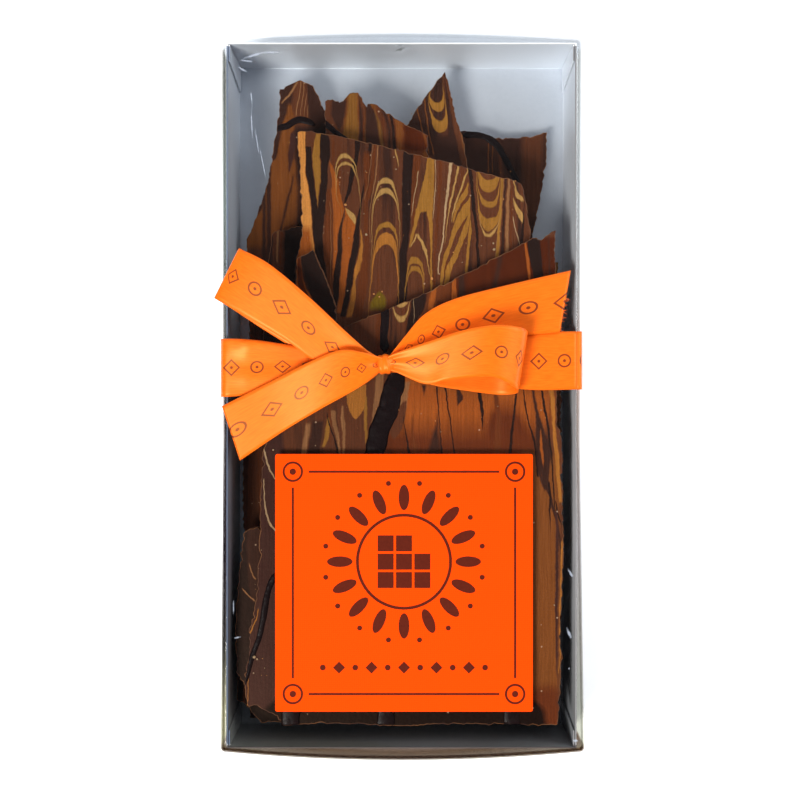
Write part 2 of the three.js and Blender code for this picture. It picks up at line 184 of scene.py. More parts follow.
def millimetres(tree, stretch=(1, 1, 1)):
    """Object coordinates in millimetres from the middle of the tray, for a pattern's scale."""
    place = add(tree, "TexCoord").outputs["Object"]
    shift = (-CENTRE.x / MM * stretch[0], -CENTRE.y / MM * stretch[1], 0)
    scale = [s / MM for s in stretch]
    return add(tree, "Mapping", {}, {"Vector": place, "Location": shift, "Scale": scale}).outputs[0]


def silver_foil(part, shine, dull, bright, painted_near_shade):
    """Soft mirror, painted darker toward the near end: painted shade and reflection of the shards' dark
    ends.
    """
    material, tree = new_finish("silver_foil_laminated_" + part)
    place = millimetres(tree)
    ripple = add(tree, "TexNoise", {}, {"Vector": place, "Scale": 1 / RIPPLE_MM, "Detail": 1.5})
    grain = add(tree, "TexNoise", {}, {"Vector": place, "Scale": 1 / FOIL_GRAIN_MM, "Detail": 2.0})
    wavy = add(tree, "Bump", {}, {"Height": ripple.outputs["Fac"], "Strength": 0.5, "Distance": 0.0012})
    fine = add(tree, "Bump", {}, {
        "Height": grain.outputs["Fac"], "Normal": wavy.outputs[0], "Strength": 0.08, "Distance": 0.0002,
    })
    rough = add(tree, "MapRange", {}, {"Value": ripple.outputs["Fac"], 3: 0.34, 4: 0.46})
    tone = add(tree, "ValToRGB", {}, {"Fac": grain.outputs["Fac"]})
    tone.color_ramp.elements[0].color = linear(dull)
    tone.color_ramp.elements[1].color = linear(bright)
    down = add(tree, "SeparateXYZ", {}, {0: place}).outputs[1]
    # painted shade: the foil's colour darkens toward the near end
    shade = add(tree, "MapRange", {}, {"Value": down, 1: -92.0, 2: -40.0, 3: painted_near_shade, 4: 1.0})
    toned = add(tree, "HueSaturation", {}, {"Color": tone.outputs["Color"], "Value": shade.outputs[0]})
    shader = add(tree, "BsdfPrincipled", {}, {
        "Base Color": toned.outputs[0], "Metallic": shine, "Roughness": rough.outputs[0],
        "Normal": fine.outputs[0],
    })
    add(tree, "OutputMaterial", {}, {"Surface": shader.outputs[0]})
    return material


def card_box(bm, low, high):
    """A flat piece of card between two corners given in millimetres."""
    low, high = spot(*low), spot(*high)
    matrix = Matrix.Translation((low + high) / 2) @ Matrix.Diagonal((*(high - low), 1))
    return bmesh.ops.create_cube(bm, size=1, matrix=matrix)["verts"]


def folded_tray():
    bm = bmesh.new()
    verts = card_box(bm, (-TRAY_HALF_X, -TRAY_HALF_Y, TRAY_BOTTOM), (TRAY_HALF_X, TRAY_HALF_Y, TRAY_TOP))
    top = [f for f in bm.faces if f.normal.z > 0.9]
    bmesh.ops.inset_region(bm, faces=top, thickness=CARD * MM)
    sunk = bmesh.ops.extrude_face_region(bm, geom=top)
    inner = [v for v in sunk["geom"] if isinstance(v, bmesh.types.BMVert)]
    bmesh.ops.translate(bm, vec=(0, 0, (TRAY_BOTTOM + CARD - TRAY_TOP) * MM), verts=inner)
    bmesh.ops.delete(bm, geom=[f for f in top if f.is_valid], context="FACES_ONLY")
    creases = [e for e in bm.edges if not e.is_boundary and e.calc_face_angle(0) > 1]
    bmesh.ops.bevel(bm, geom=creases, offset=0.15 * MM, affect="EDGES", segments=2, profile=0.5, material=-1)
    for side in (-1, 1):
        for end in (-1, 1):
            inside_x = side * (TRAY_HALF_X - CARD)
            inside_y = end * (TRAY_HALF_Y - CARD)
            xs = sorted((inside_x, inside_x - side * TAB_THICK))
            ys = sorted((inside_y, inside_y - end * TAB_LENGTH))
            low = (xs[0], ys[0], TRAY_BOTTOM + 2 * CARD)
            tab = card_box(bm, low, (xs[1], ys[1], TRAY_TOP - 0.3))
            slanted = [v for v in tab if v.co.z > CENTRE.z and abs(v.co.y - spot(0, inside_y, 0).y) > MM]
            bmesh.ops.translate(bm, vec=(0, end * TAB_SLANT * MM, 0), verts=slanted)
    bmesh.ops.recalc_face_normals(bm, faces=bm.faces)
    for face in bm.faces:
        if face.calc_center_median().z > (TRAY_TOP - CARD) * MM:
            face.material_index = 2
        elif abs(face.normal.z) < 0.5:
            face.material_index = 1
    return bm


def cut_edge():
    """The cut upper edge of the walls, seen through the fold of the film: dull and bluish, its tone set by
    side and end as painted shade and light: dark at the near end, white at the far end.
    """
    material, tree = new_finish("cut_board_edge")
    split = add(tree, "SeparateXYZ", {}, {0: millimetres(tree)})
    low_to_far = add(tree, "MapRange", {}, {"Value": split.outputs[1], 1: -TRAY_HALF_Y, 2: TRAY_HALF_Y})
    left = add(tree, "ValToRGB", {}, {"Fac": low_to_far.outputs[0]})
    left.color_ramp.elements[0].color = linear("#56657f")
    left.color_ramp.elements[1].color = linear("#7d899f")
    left.color_ramp.elements.new(0.02).color = linear("#5f6c84")
    right_side = add(tree, "Math", {"operation": "GREATER_THAN"}, {0: split.outputs[0], 1: 0.0})
    tone = add(tree, "Mix", {"data_type": "RGBA"}, {
        0: right_side.outputs[0], 6: left.outputs["Color"], 7: linear("#929092"),
    })
    # painted shade and light: the near end is painted dark and the far end white
    for way, colour in ((-1, "#5e5757"), (1, "#ffffff")):
        past = add(tree, "Math", {"operation": "MULTIPLY"}, {0: split.outputs[1], 1: way})
        end = add(tree, "Math", {"operation": "GREATER_THAN"}, {0: past.outputs[0], 1: TRAY_HALF_Y - 1})
        tone = add(tree, "Mix", {"data_type": "RGBA"}, {
            0: end.outputs[0], 6: tone.outputs[2], 7: linear(colour),
        })
    shader = add(tree, "BsdfPrincipled", {}, {
        "Base Color": tone.outputs[2], "Roughness": 0.7, "Specular IOR Level": 0.1,
    })
    add(tree, "OutputMaterial", {}, {"Surface": shader.outputs[0]})
    return material


# The walls take the same foil as the floor, less mirror-like and painted lighter: painted light on the
# walls.
FOILS = [
    silver_foil("floor", 0.5, "#ced5df", "#dbe1ea", 0.35),
    silver_foil("walls", 0.2, "#e6edf6", "#f0f5fc", 0.5),
]
tray = piece("folded_tray", folded_tray(), [*FOILS, cut_edge()])
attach(tray, "root")
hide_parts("tray")

# ---- Bark: how a shard is made ----
# Tempered chocolates poured together, combed while wet, drizzled with dark chocolate and broken
# by hand once set. The top is smooth and a little shiny, the broken sides are dull and crumbly.

BARK_THICK = 4.8
LAYER_PITCH = 5.9
LOWEST_LAYER = 1.6
CHIP_DEPTH = 0.12
CHIP_STEP = 0.9
CHIP_WAVES = [(0.31, -0.27, 1, 0.5), (0.83, 0.71, 2.1, 0.35), (1.9, -2.3, 3.7, 0.35)]
CRUMBLE, CRUMBLE_RATE = 0.14, 0.9
NICK_DEPTH, NICK_RATE, NICK_FROM = 2.2, 0.23, 0.42
RIM = 0.18
RIM_DROP = 0.8
TOP_CELL = 3
TOP_BAND = 0.1
TOP_WAVE, TOP_WAVE_RATE = 0.12, 0.11
SIDE_LEVELS = 4
SIDE_ROUGH, SIDE_RATE = 0.35, 0.9
WELD = 0.05
DRIZZLE_HEIGHT = 0.35
WIDEST_LINE = 5.4
RUN_ON = 4
SPAN_X, SPAN_Y = 110, 220
NOISE_SEED = 1

# Without a seed of its own, noise_vector takes one from the clock and changes from run to run.
noise.seed_set(NOISE_SEED)

# The chocolates, from near black to the palest cream. Two are painted shade: the near black and the darkened
# amber.
CHOCOLATE = {
    # painted shade: the near black laid over the low ends of the shards
    "shade": "#150907",
    "drizzle": "#241613",
    "umber": "#38211a",
    "milk": "#5c3320",
    "maroon": "#402520",
    "auburn": "#4c1e0a",
    # painted shade: amber darkened where the label and the low end shade it
    "rust": "#5f2b14",
    "russet": "#613017",
    "toffee": "#78431e",
    "amber": "#964d1d",
    "caramel": "#a3662a",
    "honey": "#c8823f",
    "bronze": "#7f5223",
    "ochre": "#946429",
    "tan": "#8c5f3c",
    "olive": "#6a5314",
    "yellow": "#a98048",
    "pale": "#a98a66",
}


def chip(x, y, seed):
    """How far the broken edge stands out at a place, from three waves that never line up."""
    return CHIP_DEPTH * sum(
        share * math.sin(by_x * x + by_y * y + start * seed) for by_x, by_y, start, share in CHIP_WAVES
    )


def broken_outline(corners, seed):
    """The shard's corners joined by short steps, chipped, crumbled and here and there nicked."""
    outline = []
    for i, corner in enumerate(corners):
        start, end = Vector(corner), Vector(corners[(i + 1) % len(corners)])
        along = end - start
        outward = Vector((-along.y, along.x)).normalized()
        steps = max(1, round(along.length / CHIP_STEP))
        for k in range(steps):
            point = start.lerp(end, k / steps)
            crumble = CRUMBLE * noise.noise((point.x * CRUMBLE_RATE, point.y * CRUMBLE_RATE, seed * 7.0))
            nick = noise.noise((point.x * NICK_RATE, point.y * NICK_RATE, seed * 3.0))
            crumble -= NICK_DEPTH * max(0, nick - NICK_FROM)
            outline.append(point + outward * (chip(point.x, point.y, seed) + crumble))
    return outline


def cut_in_cells(bm, is_flat, reaches, cell, weld=0):
    """Scores the flat faces into square cells, so that they can take a gentle wave."""
    for axis, reach in enumerate(reaches):
        across = [0, 0, 0]
        across[axis] = 1
        for k in range(-int(reach // cell), int(reach // cell) + 1):
            faces = [f for f in bm.faces if is_flat(f)]
            geom = list({e for f in faces for e in f.edges}) + faces + list({
                v for f in faces for v in f.verts
            })
            place = spot(*(k * cell * Vector(across)))
            bmesh.ops.bisect_plane(bm, geom=geom, plane_co=place, plane_no=across, dist=weld)


def broken_sheet(corners, seed, bottom, top):
    """One shard: its outline raised in levels, with crumbly sides and a softly uneven top."""
    def is_poured(face):
        return face.normal.z > 0.99 and face.calc_center_median().z > (top - TOP_BAND) * MM

    bm = bmesh.new()
    outline = [bm.verts.new(spot(p.x, p.y, bottom)) for p in broken_outline(corners, seed)]
    region = [bm.faces.new(outline)]
    for level in range(SIDE_LEVELS):
        raised = bmesh.ops.extrude_face_region(bm, geom=region, use_keep_orig=level == 0)
        region = [f for f in raised["geom"] if isinstance(f, bmesh.types.BMFace)]
        verts = [v for v in raised["geom"] if isinstance(v, bmesh.types.BMVert)]
        bmesh.ops.translate(bm, vec=(0, 0, (top - bottom) / SIDE_LEVELS * MM), verts=verts)
        if level < SIDE_LEVELS - 1:
            for vert in verts:
                rough = noise.noise_vector(vert.co / MM * SIDE_RATE + Vector((seed, 0, 0)))
                vert.co += Vector((rough.x, rough.y, 0)) * SIDE_ROUGH * MM
    bmesh.ops.recalc_face_normals(bm, faces=bm.faces)
    bmesh.ops.inset_region(bm, faces=region, thickness=RIM * MM)
    rim = {v for f in region for v in f.verts}
    for vert in bm.verts:
        if vert not in rim and vert.co.z > (top - TOP_BAND) * MM:
            vert.co.z -= RIM * RIM_DROP * MM
    cut_in_cells(bm, is_poured, (SPAN_X / 2, SPAN_Y / 2), TOP_CELL, WELD * MM)
    for face in bm.faces:
        face.material_index = 0 if is_poured(face) else 1
    for vert in bm.verts:
        if vert.co.z > (top - TOP_BAND) * MM:
            vert.co.z += TOP_WAVE * MM * noise.noise(vert.co / MM * TOP_WAVE_RATE + Vector((0, 0, seed)))
    return bm


def curve_point(stations, t):
    """A point of the Catmull-Rom curve through the stations, t from 0 to 1."""
    place = min(max(t, 0), 1) * (len(stations) - 1)
    i = min(int(place), len(stations) - 2)
    f = place - i
    b, c = Vector(stations[i]), Vector(stations[i + 1])
    a = Vector(stations[i - 1]) if i > 0 else 2 * b - c
    d = Vector(stations[i + 2]) if i + 2 < len(stations) else 2 * c - b
    return 0.5 * (2 * b + (c - a) * f + (2 * a - 5 * b + 4 * c - d) * f * f + (3 * b - a - 3 * c + d) * f**3)


def edge_ahead(corners, start, way):
    """Where a line that goes on from start leaves the shard soon, and that edge's outward side."""
    for i, corner in enumerate(corners):
        one, other = Vector(corner), Vector(corners[(i + 1) % len(corners)])
        meeting = geometry.intersect_line_line_2d(start - way, start + way * RUN_ON, one, other)
        if meeting:
            along = other - one
            return meeting, Vector((-along.y, along.x)).normalized()
    return None, None


def poured_line(bm, width, points, corners, top):
    """One drizzled line: flattened, uneven, half sunk into the top, and snapped at the edge."""
    points = [Vector(p) for p in points]
    cuts = []
    for end, inner in ((0, 1), (-1, -2)):
        way = (points[end] - points[inner]).normalized()
        meeting, outward = edge_ahead(corners, points[end], way)
        if meeting:
            cuts.append((meeting - outward * CHIP_DEPTH, outward))
            points[end] = meeting + way * width
    length = sum((b - a).length for a, b in zip(points, points[1:]))
    steps = max(4, round(length / 1.6))
    curve = bpy.data.curves.new("poured_line", "CURVE")
    curve.dimensions = "3D"
    curve.resolution_u = 3
    curve.bevel_depth = 1
    curve.bevel_resolution = 3
    curve.use_fill_caps = True
    stroke = curve.splines.new("BEZIER")
    stroke.bezier_points.add(steps)
    for i, knot in enumerate(stroke.bezier_points):
        point = curve_point(points, i / steps)
        sway = noise.noise_vector((point.x * 0.25, point.y * 0.25, width))
        fullness = 1 + 0.3 * noise.noise((point.x * 0.35, point.y * 0.35, 5 * width))
        round_end = min(1, 0.35 + 0.65 * min(i, steps - i) * length / steps / width * 1.5)
        knot.co = (point.x + 0.1 * width * sway.x, point.y + 0.1 * width * sway.y, 0)
        knot.handle_left_type = knot.handle_right_type = "AUTO"
        knot.radius = width / 2 * fullness * round_end
    stand_in = bpy.data.objects.new("poured_line", curve)
    scene.collection.objects.link(stand_in)
    bpy.context.view_layer.update()
    mesh = bpy.data.meshes.new_from_object(stand_in.evaluated_get(bpy.context.evaluated_depsgraph_get()))
    bpy.data.objects.remove(stand_in)
    height = DRIZZLE_HEIGHT * (width / WIDEST_LINE) ** 0.5
    for vert in mesh.vertices:
        vert.co = spot(vert.co.x, vert.co.y, top + vert.co.z * height / (width / 2))
    line = bmesh.new()
    line.from_mesh(mesh)
    for place, outward in cuts:
        geom = [*line.verts, *line.edges, *line.faces]
        side = (*outward, 0)
        bmesh.ops.bisect_plane(line, geom=geom, plane_co=spot(*place, top), plane_no=side, clear_outer=True)
        bmesh.ops.holes_fill(line, edges=[e for e in line.edges if e.is_boundary])
    for face in line.faces:
        face.material_index = 2
        face.smooth = True
    line.to_mesh(mesh)
    line.free()
    bm.from_mesh(mesh)


def on_shard(corners, x, y):
    """Whether a place lies within a shard's outline."""
    within = False
    for i, corner in enumerate(corners):
        one, other = Vector(corner), Vector(corners[(i + 1) % len(corners)])
        if (one.y > y) != (other.y > y) and x < one.x + (y - one.y) / (other.y - one.y) * (other.x - one.x):
            within = not within
    return within


def marbling(name, corners, ground, streaks, combs):
    """The marbled top. ground is what stretched noise gives, from dark to light. A streak is a
    colour, the softness of its edge, and its left and right edge at each height. A comb is a
    column of nested arches, opening down (1) or up (-1), with the bands that it shows."""
    material, tree = new_finish("marbled_chocolate_" + name)
    plain = millimetres(tree)
    drift = add(tree, "TexNoise", {}, {"Vector": plain, "Scale": 0.11, "Detail": 2.0})
    jitter = add(tree, "TexNoise", {}, {"Vector": plain, "Scale": 0.7, "Detail": 2.0})
    moved = add(tree, "VectorMath", {"operation": "MULTIPLY_ADD"}, {
        0: drift.outputs["Color"], 1: (1.2, 3.0, 0), 2: (-0.6, -1.5, 0),
    })
    moved = add(tree, "VectorMath", {"operation": "MULTIPLY_ADD"}, {
        0: jitter.outputs["Color"], 1: (0.5, 0.8, 0), 2: moved.outputs[0],
    })
    place = add(tree, "VectorMath", {"operation": "ADD"}, {0: plain, 1: moved.outputs[0]})
    split = add(tree, "SeparateXYZ", {}, {0: place.outputs[0]})
    x = add(tree, "Math", {"operation": "MULTIPLY_ADD"}, {
        0: split.outputs[0], 1: 1 / SPAN_X, 2: 0.5,
    }).outputs[0]
    y = add(tree, "Math", {"operation": "MULTIPLY_ADD"}, {
        0: split.outputs[1], 1: 1 / SPAN_Y, 2: 0.5,
    }).outputs[0]

    combed = add(tree, "Mapping", {}, {"Vector": place.outputs[0], "Scale": (0.42, 0.022, 0.3)})
    strands = add(tree, "TexNoise", {}, {"Vector": combed.outputs[0], "Scale": 1.0, "Detail": 3.0})
    base = add(tree, "ValToRGB", {}, {"Fac": strands.outputs["Fac"]})
    base.color_ramp.elements.remove(base.color_ramp.elements[1])
    base.color_ramp.elements[0].position = ground[0][0]
    base.color_ramp.elements[0].color = linear(CHOCOLATE[ground[0][1]])
    for position, colour in ground[1:]:
        base.color_ramp.elements.new(position).color = linear(CHOCOLATE[colour])
    colour_now = base.outputs["Color"]

    def edges_of(stations):
        """The left and right edge at this height, each from its own curve."""
        edges = add(tree, "RGBCurve", {}, {"Color": y})
        edges.mapping.extend = "HORIZONTAL"
        for channel in (0, 1):
            curve = edges.mapping.curves[channel]
            knots = sorted((s[0] / SPAN_Y + 0.5, s[channel + 1] / SPAN_X + 0.5) for s in stations)
            curve.points[0].location = knots[0]
            curve.points[1].location = knots[-1]
            for knot in knots[1:-1]:
                curve.points.new(*knot)
            for point in curve.points:
                point.handle_type = "AUTO_CLAMPED"
        edges.mapping.update()
        parts = add(tree, "SeparateColor", {}, {0: edges.outputs[0]})
        return parts.outputs[0], parts.outputs[1]

    def inside(left, right, soft):
        """1 between two edges, 0 outside them, with a soft step of that many millimetres."""
        from_left = add(tree, "Math", {"operation": "SUBTRACT"}, {0: x, 1: left}).outputs[0]
        from_right = add(tree, "Math", {"operation": "SUBTRACT"}, {0: right, 1: x}).outputs[0]
        nearest = add(tree, "Math", {"operation": "MINIMUM"}, {0: from_left, 1: from_right}).outputs[0]
        return add(tree, "MapRange", {}, {"Value": nearest, 2: soft / SPAN_X}).outputs[0], from_left

    for colour, soft, *stations in streaks:
        cover, _ = inside(*edges_of(stations), soft)
        for end, way in ((max(stations), -1), (min(stations), 1)):
            if on_shard(corners, (end[1] + end[2]) / 2, end[0] - way * RUN_ON / 2):
                past = add(tree, "Math", {"operation": "MULTIPLY_ADD"}, {
                    0: split.outputs[1], 1: way, 2: -way * end[0],
                })
                shown = add(tree, "MapRange", {}, {
                    "Value": past.outputs[0], 1: -max(0.3, soft), 2: max(0.3, soft),
                })
                cover = add(tree, "Math", {"operation": "MULTIPLY"}, {
                    0: cover, 1: shown.outputs[0],
                }).outputs[0]
        layer = add(tree, "Mix", {"data_type": "RGBA"}, {
            0: cover, 6: colour_now, 7: linear(CHOCOLATE[colour]),
        })
        colour_now = layer.outputs[2]

    for way, bend, stations, bands in combs:
        left, right = edges_of(stations)
        cover, from_left = inside(left, right, 0.3)
        width = add(tree, "Math", {"operation": "SUBTRACT"}, {0: right, 1: left}).outputs[0]
        across = add(tree, "Math", {"operation": "DIVIDE"}, {0: from_left, 1: width}).outputs[0]
        side = add(tree, "Math", {"operation": "MULTIPLY_ADD"}, {0: across, 1: 2.0, 2: -1.0}).outputs[0]
        square = add(tree, "Math", {"operation": "MULTIPLY"}, {0: side, 1: side}).outputs[0]
        room = add(tree, "Math", {"operation": "SUBTRACT"}, {0: 1.06, 1: square}).outputs[0]
        arch = add(tree, "Math", {"operation": "DIVIDE"}, {0: square, 1: room}).outputs[0]
        level = add(tree, "Math", {"operation": "MULTIPLY_ADD"}, {
            0: arch, 1: way * bend, 2: split.outputs[1],
        })
        low = min(min(b[1:]) for b in bands) - 1
        high = max(max(b[1:]) for b in bands) + 1
        share = add(tree, "MapRange", {}, {"Value": level.outputs[0], 1: low, 2: high})
        bars = add(tree, "ValToRGB", {}, {"Fac": share.outputs[0]})
        ramp = bars.color_ramp
        ramp.elements[0].color = ramp.elements[1].color = (0, 0, 0, 0)
        edge = 0.2 / (high - low)
        for colour, one, other in sorted(bands, key=lambda band: min(band[1:])):
            near, far = [(v - low) / (high - low) for v in sorted((one, other))]
            tint = linear(CHOCOLATE[colour])
            for position, solidity in ((near - edge, 0), (near + edge, 1), (far - edge, 1), (far + edge, 0)):
                ramp.elements.new(position).color = [*tint[:3], solidity]
        cover = add(tree, "Math", {"operation": "MULTIPLY"}, {0: cover, 1: bars.outputs["Alpha"]}).outputs[0]
        layer = add(tree, "Mix", {"data_type": "RGBA"}, {0: cover, 6: colour_now, 7: bars.outputs["Color"]})
        colour_now = layer.outputs[2]

    fine = add(tree, "Mapping", {}, {"Vector": place.outputs[0], "Scale": (2.4, 0.07, 1)})
    grain = add(tree, "TexNoise", {}, {"Vector": fine.outputs[0], "Scale": 1.0, "Detail": 2.0})
    shade = add(tree, "MapRange", {}, {"Value": grain.outputs["Fac"], 1: 0.3, 2: 0.7, 3: 0.8, 4: 1.18})
    pores = add(tree, "TexNoise", {}, {"Vector": plain, "Scale": 2.6, "Detail": 4.0})
    grit = add(tree, "MapRange", {}, {"Value": pores.outputs["Fac"], 1: 0.3, 2: 0.7, 3: 0.86, 4: 1.14})
    value = add(tree, "Math", {"operation": "MULTIPLY"}, {0: shade.outputs[0], 1: grit.outputs[0]})
    toned = add(tree, "HueSaturation", {}, {"Color": colour_now, "Value": value.outputs[0]})
    dust = add(tree, "TexVoronoi", {}, {"Vector": plain, "Scale": 0.45})
    chosen = add(tree, "SeparateColor", {}, {0: dust.outputs["Color"]})
    size = add(tree, "MapRange", {}, {"Value": chosen.outputs[0], 1: 0.8, 2: 1.0, 3: 0.0, 4: 0.12})
    speck = add(tree, "Math", {"operation": "LESS_THAN"}, {0: dust.outputs["Distance"], 1: size.outputs[0]})
    faint = add(tree, "Math", {"operation": "MULTIPLY"}, {0: speck.outputs[0], 1: 0.55})
    dusty = add(tree, "Mix", {"data_type": "RGBA"}, {
        0: faint.outputs[0], 6: toned.outputs[0], 7: linear("#c9a788"),
    })

    relief = add(tree, "TexNoise", {}, {"Vector": plain, "Scale": 0.9, "Detail": 3.0})
    bump = add(tree, "Bump", {}, {"Height": relief.outputs["Fac"], "Strength": 0.2, "Distance": 0.0003})
    rough = add(tree, "MapRange", {}, {"Value": relief.outputs["Fac"], 3: 0.3, 4: 0.52})
    shader = add(tree, "BsdfPrincipled", {}, {
        "Base Color": dusty.outputs[2], "Roughness": rough.outputs[0], "IOR": 1.46,
        "Specular IOR Level": 0.1, "Specular Tint": linear("#ffd9b8"), "Normal": bump.outputs[0],
    })
    add(tree, "OutputMaterial", {}, {"Surface": shader.outputs[0]})
    return material


def broken_edge():
    """Where the sheet snapped: dull, grainy, and lighter than the poured top, partly as a painted highlight
    along the rims.
    """
    material, tree = new_finish("snapped_chocolate")
    place = millimetres(tree, (1, 1, 2.5))
    grain = add(tree, "TexNoise", {}, {"Vector": place, "Scale": 1.3, "Detail": 4.0})
    blotch = add(tree, "TexNoise", {}, {"Vector": place, "Scale": 0.18, "Detail": 2.0})
    tone = add(tree, "ValToRGB", {}, {"Fac": blotch.outputs["Fac"]})
    tone.color_ramp.elements[0].position, tone.color_ramp.elements[1].position = 0.35, 0.65
    tone.color_ramp.elements[0].color = linear("#523022")
    tone.color_ramp.elements[1].color = linear("#8c5a33")
    bump = add(tree, "Bump", {}, {"Height": grain.outputs["Fac"], "Strength": 0.6, "Distance": 0.0005})
    shade = add(tree, "MapRange", {}, {"Value": grain.outputs["Fac"], 3: 0.7, 4: 1.3})
    toned = add(tree, "HueSaturation", {}, {"Color": tone.outputs["Color"], "Value": shade.outputs[0]})
    shader = add(tree, "BsdfPrincipled", {}, {
        "Base Color": toned.outputs[0], "Roughness": 0.75, "IOR": 1.46, "Normal": bump.outputs[0],
    })
    add(tree, "OutputMaterial", {}, {"Surface": shader.outputs[0]})
    return material


def dark_drizzle():
    """Dark chocolate that set as it fell: near black, with a soft gloss and small ripples."""
    material, tree = new_finish("dark_chocolate_drizzle")
    place = millimetres(tree)
    ripple = add(tree, "TexNoise", {}, {"Vector": place, "Scale": 0.5, "Detail": 3.0})
    bump = add(tree, "Bump", {}, {"Height": ripple.outputs["Fac"], "Strength": 0.35, "Distance": 0.0006})
    tone = add(tree, "ValToRGB", {}, {"Fac": ripple.outputs["Fac"]})
    tone.color_ramp.elements[0].color = linear("#130b0b")
    tone.color_ramp.elements[1].color = linear("#1f1212")
    rough = add(tree, "MapRange", {}, {"Value": ripple.outputs["Fac"], 3: 0.25, 4: 0.42})
    shader = add(tree, "BsdfPrincipled", {}, {
        "Base Color": tone.outputs["Color"], "Roughness": rough.outputs[0], "IOR": 1.46,
        "Specular IOR Level": 0.08, "Normal": bump.outputs[0],
    })
    add(tree, "OutputMaterial", {}, {"Surface": shader.outputs[0]})
    return material


SNAPPED = broken_edge()
DRIZZLE = dark_drizzle()


def shard(node, seed, layer, ground, corners, drizzle=(), streaks=(), combs=()):
    """Makes one shard in place of its plain solid."""
    bottom = LOWEST_LAYER + layer * LAYER_PITCH
    top = bottom + BARK_THICK
    bm = broken_sheet(corners, seed, bottom, top)
    for width, *points in drizzle:
        poured_line(bm, width, points, corners, top)
    made = piece(node + "_marbled", bm, [marbling(node, corners, ground, streaks, combs), SNAPPED, DRIZZLE])
    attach(made, "root")
    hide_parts(node)


# In the shards below, corners and stations are millimetres on the shard's own layer. Their places
# were read off the photograph as pixels and scaled for how deep the layer lies. A drizzled line is
# its width and its points. A streak's stations are a height y with its left and right edge there.
MOSTLY_MILK = [(0.3, "umber"), (0.42, "milk"), (0.6, "milk"), (0.68, "russet")]
MOSTLY_DARK = [(0.3, "drizzle"), (0.45, "umber"), (0.6, "milk"), (0.7, "russet")]
MIXED = [(0.3, "umber"), (0.4, "milk"), (0.5, "russet"), (0.6, "toffee"), (0.7, "ochre")]

# ---- Front shard ----
# The large shard in front, which the label lies over: milk chocolate at the left, caramel with
# long thin dark lines at the right, and one thick line of dark drizzle through the middle.

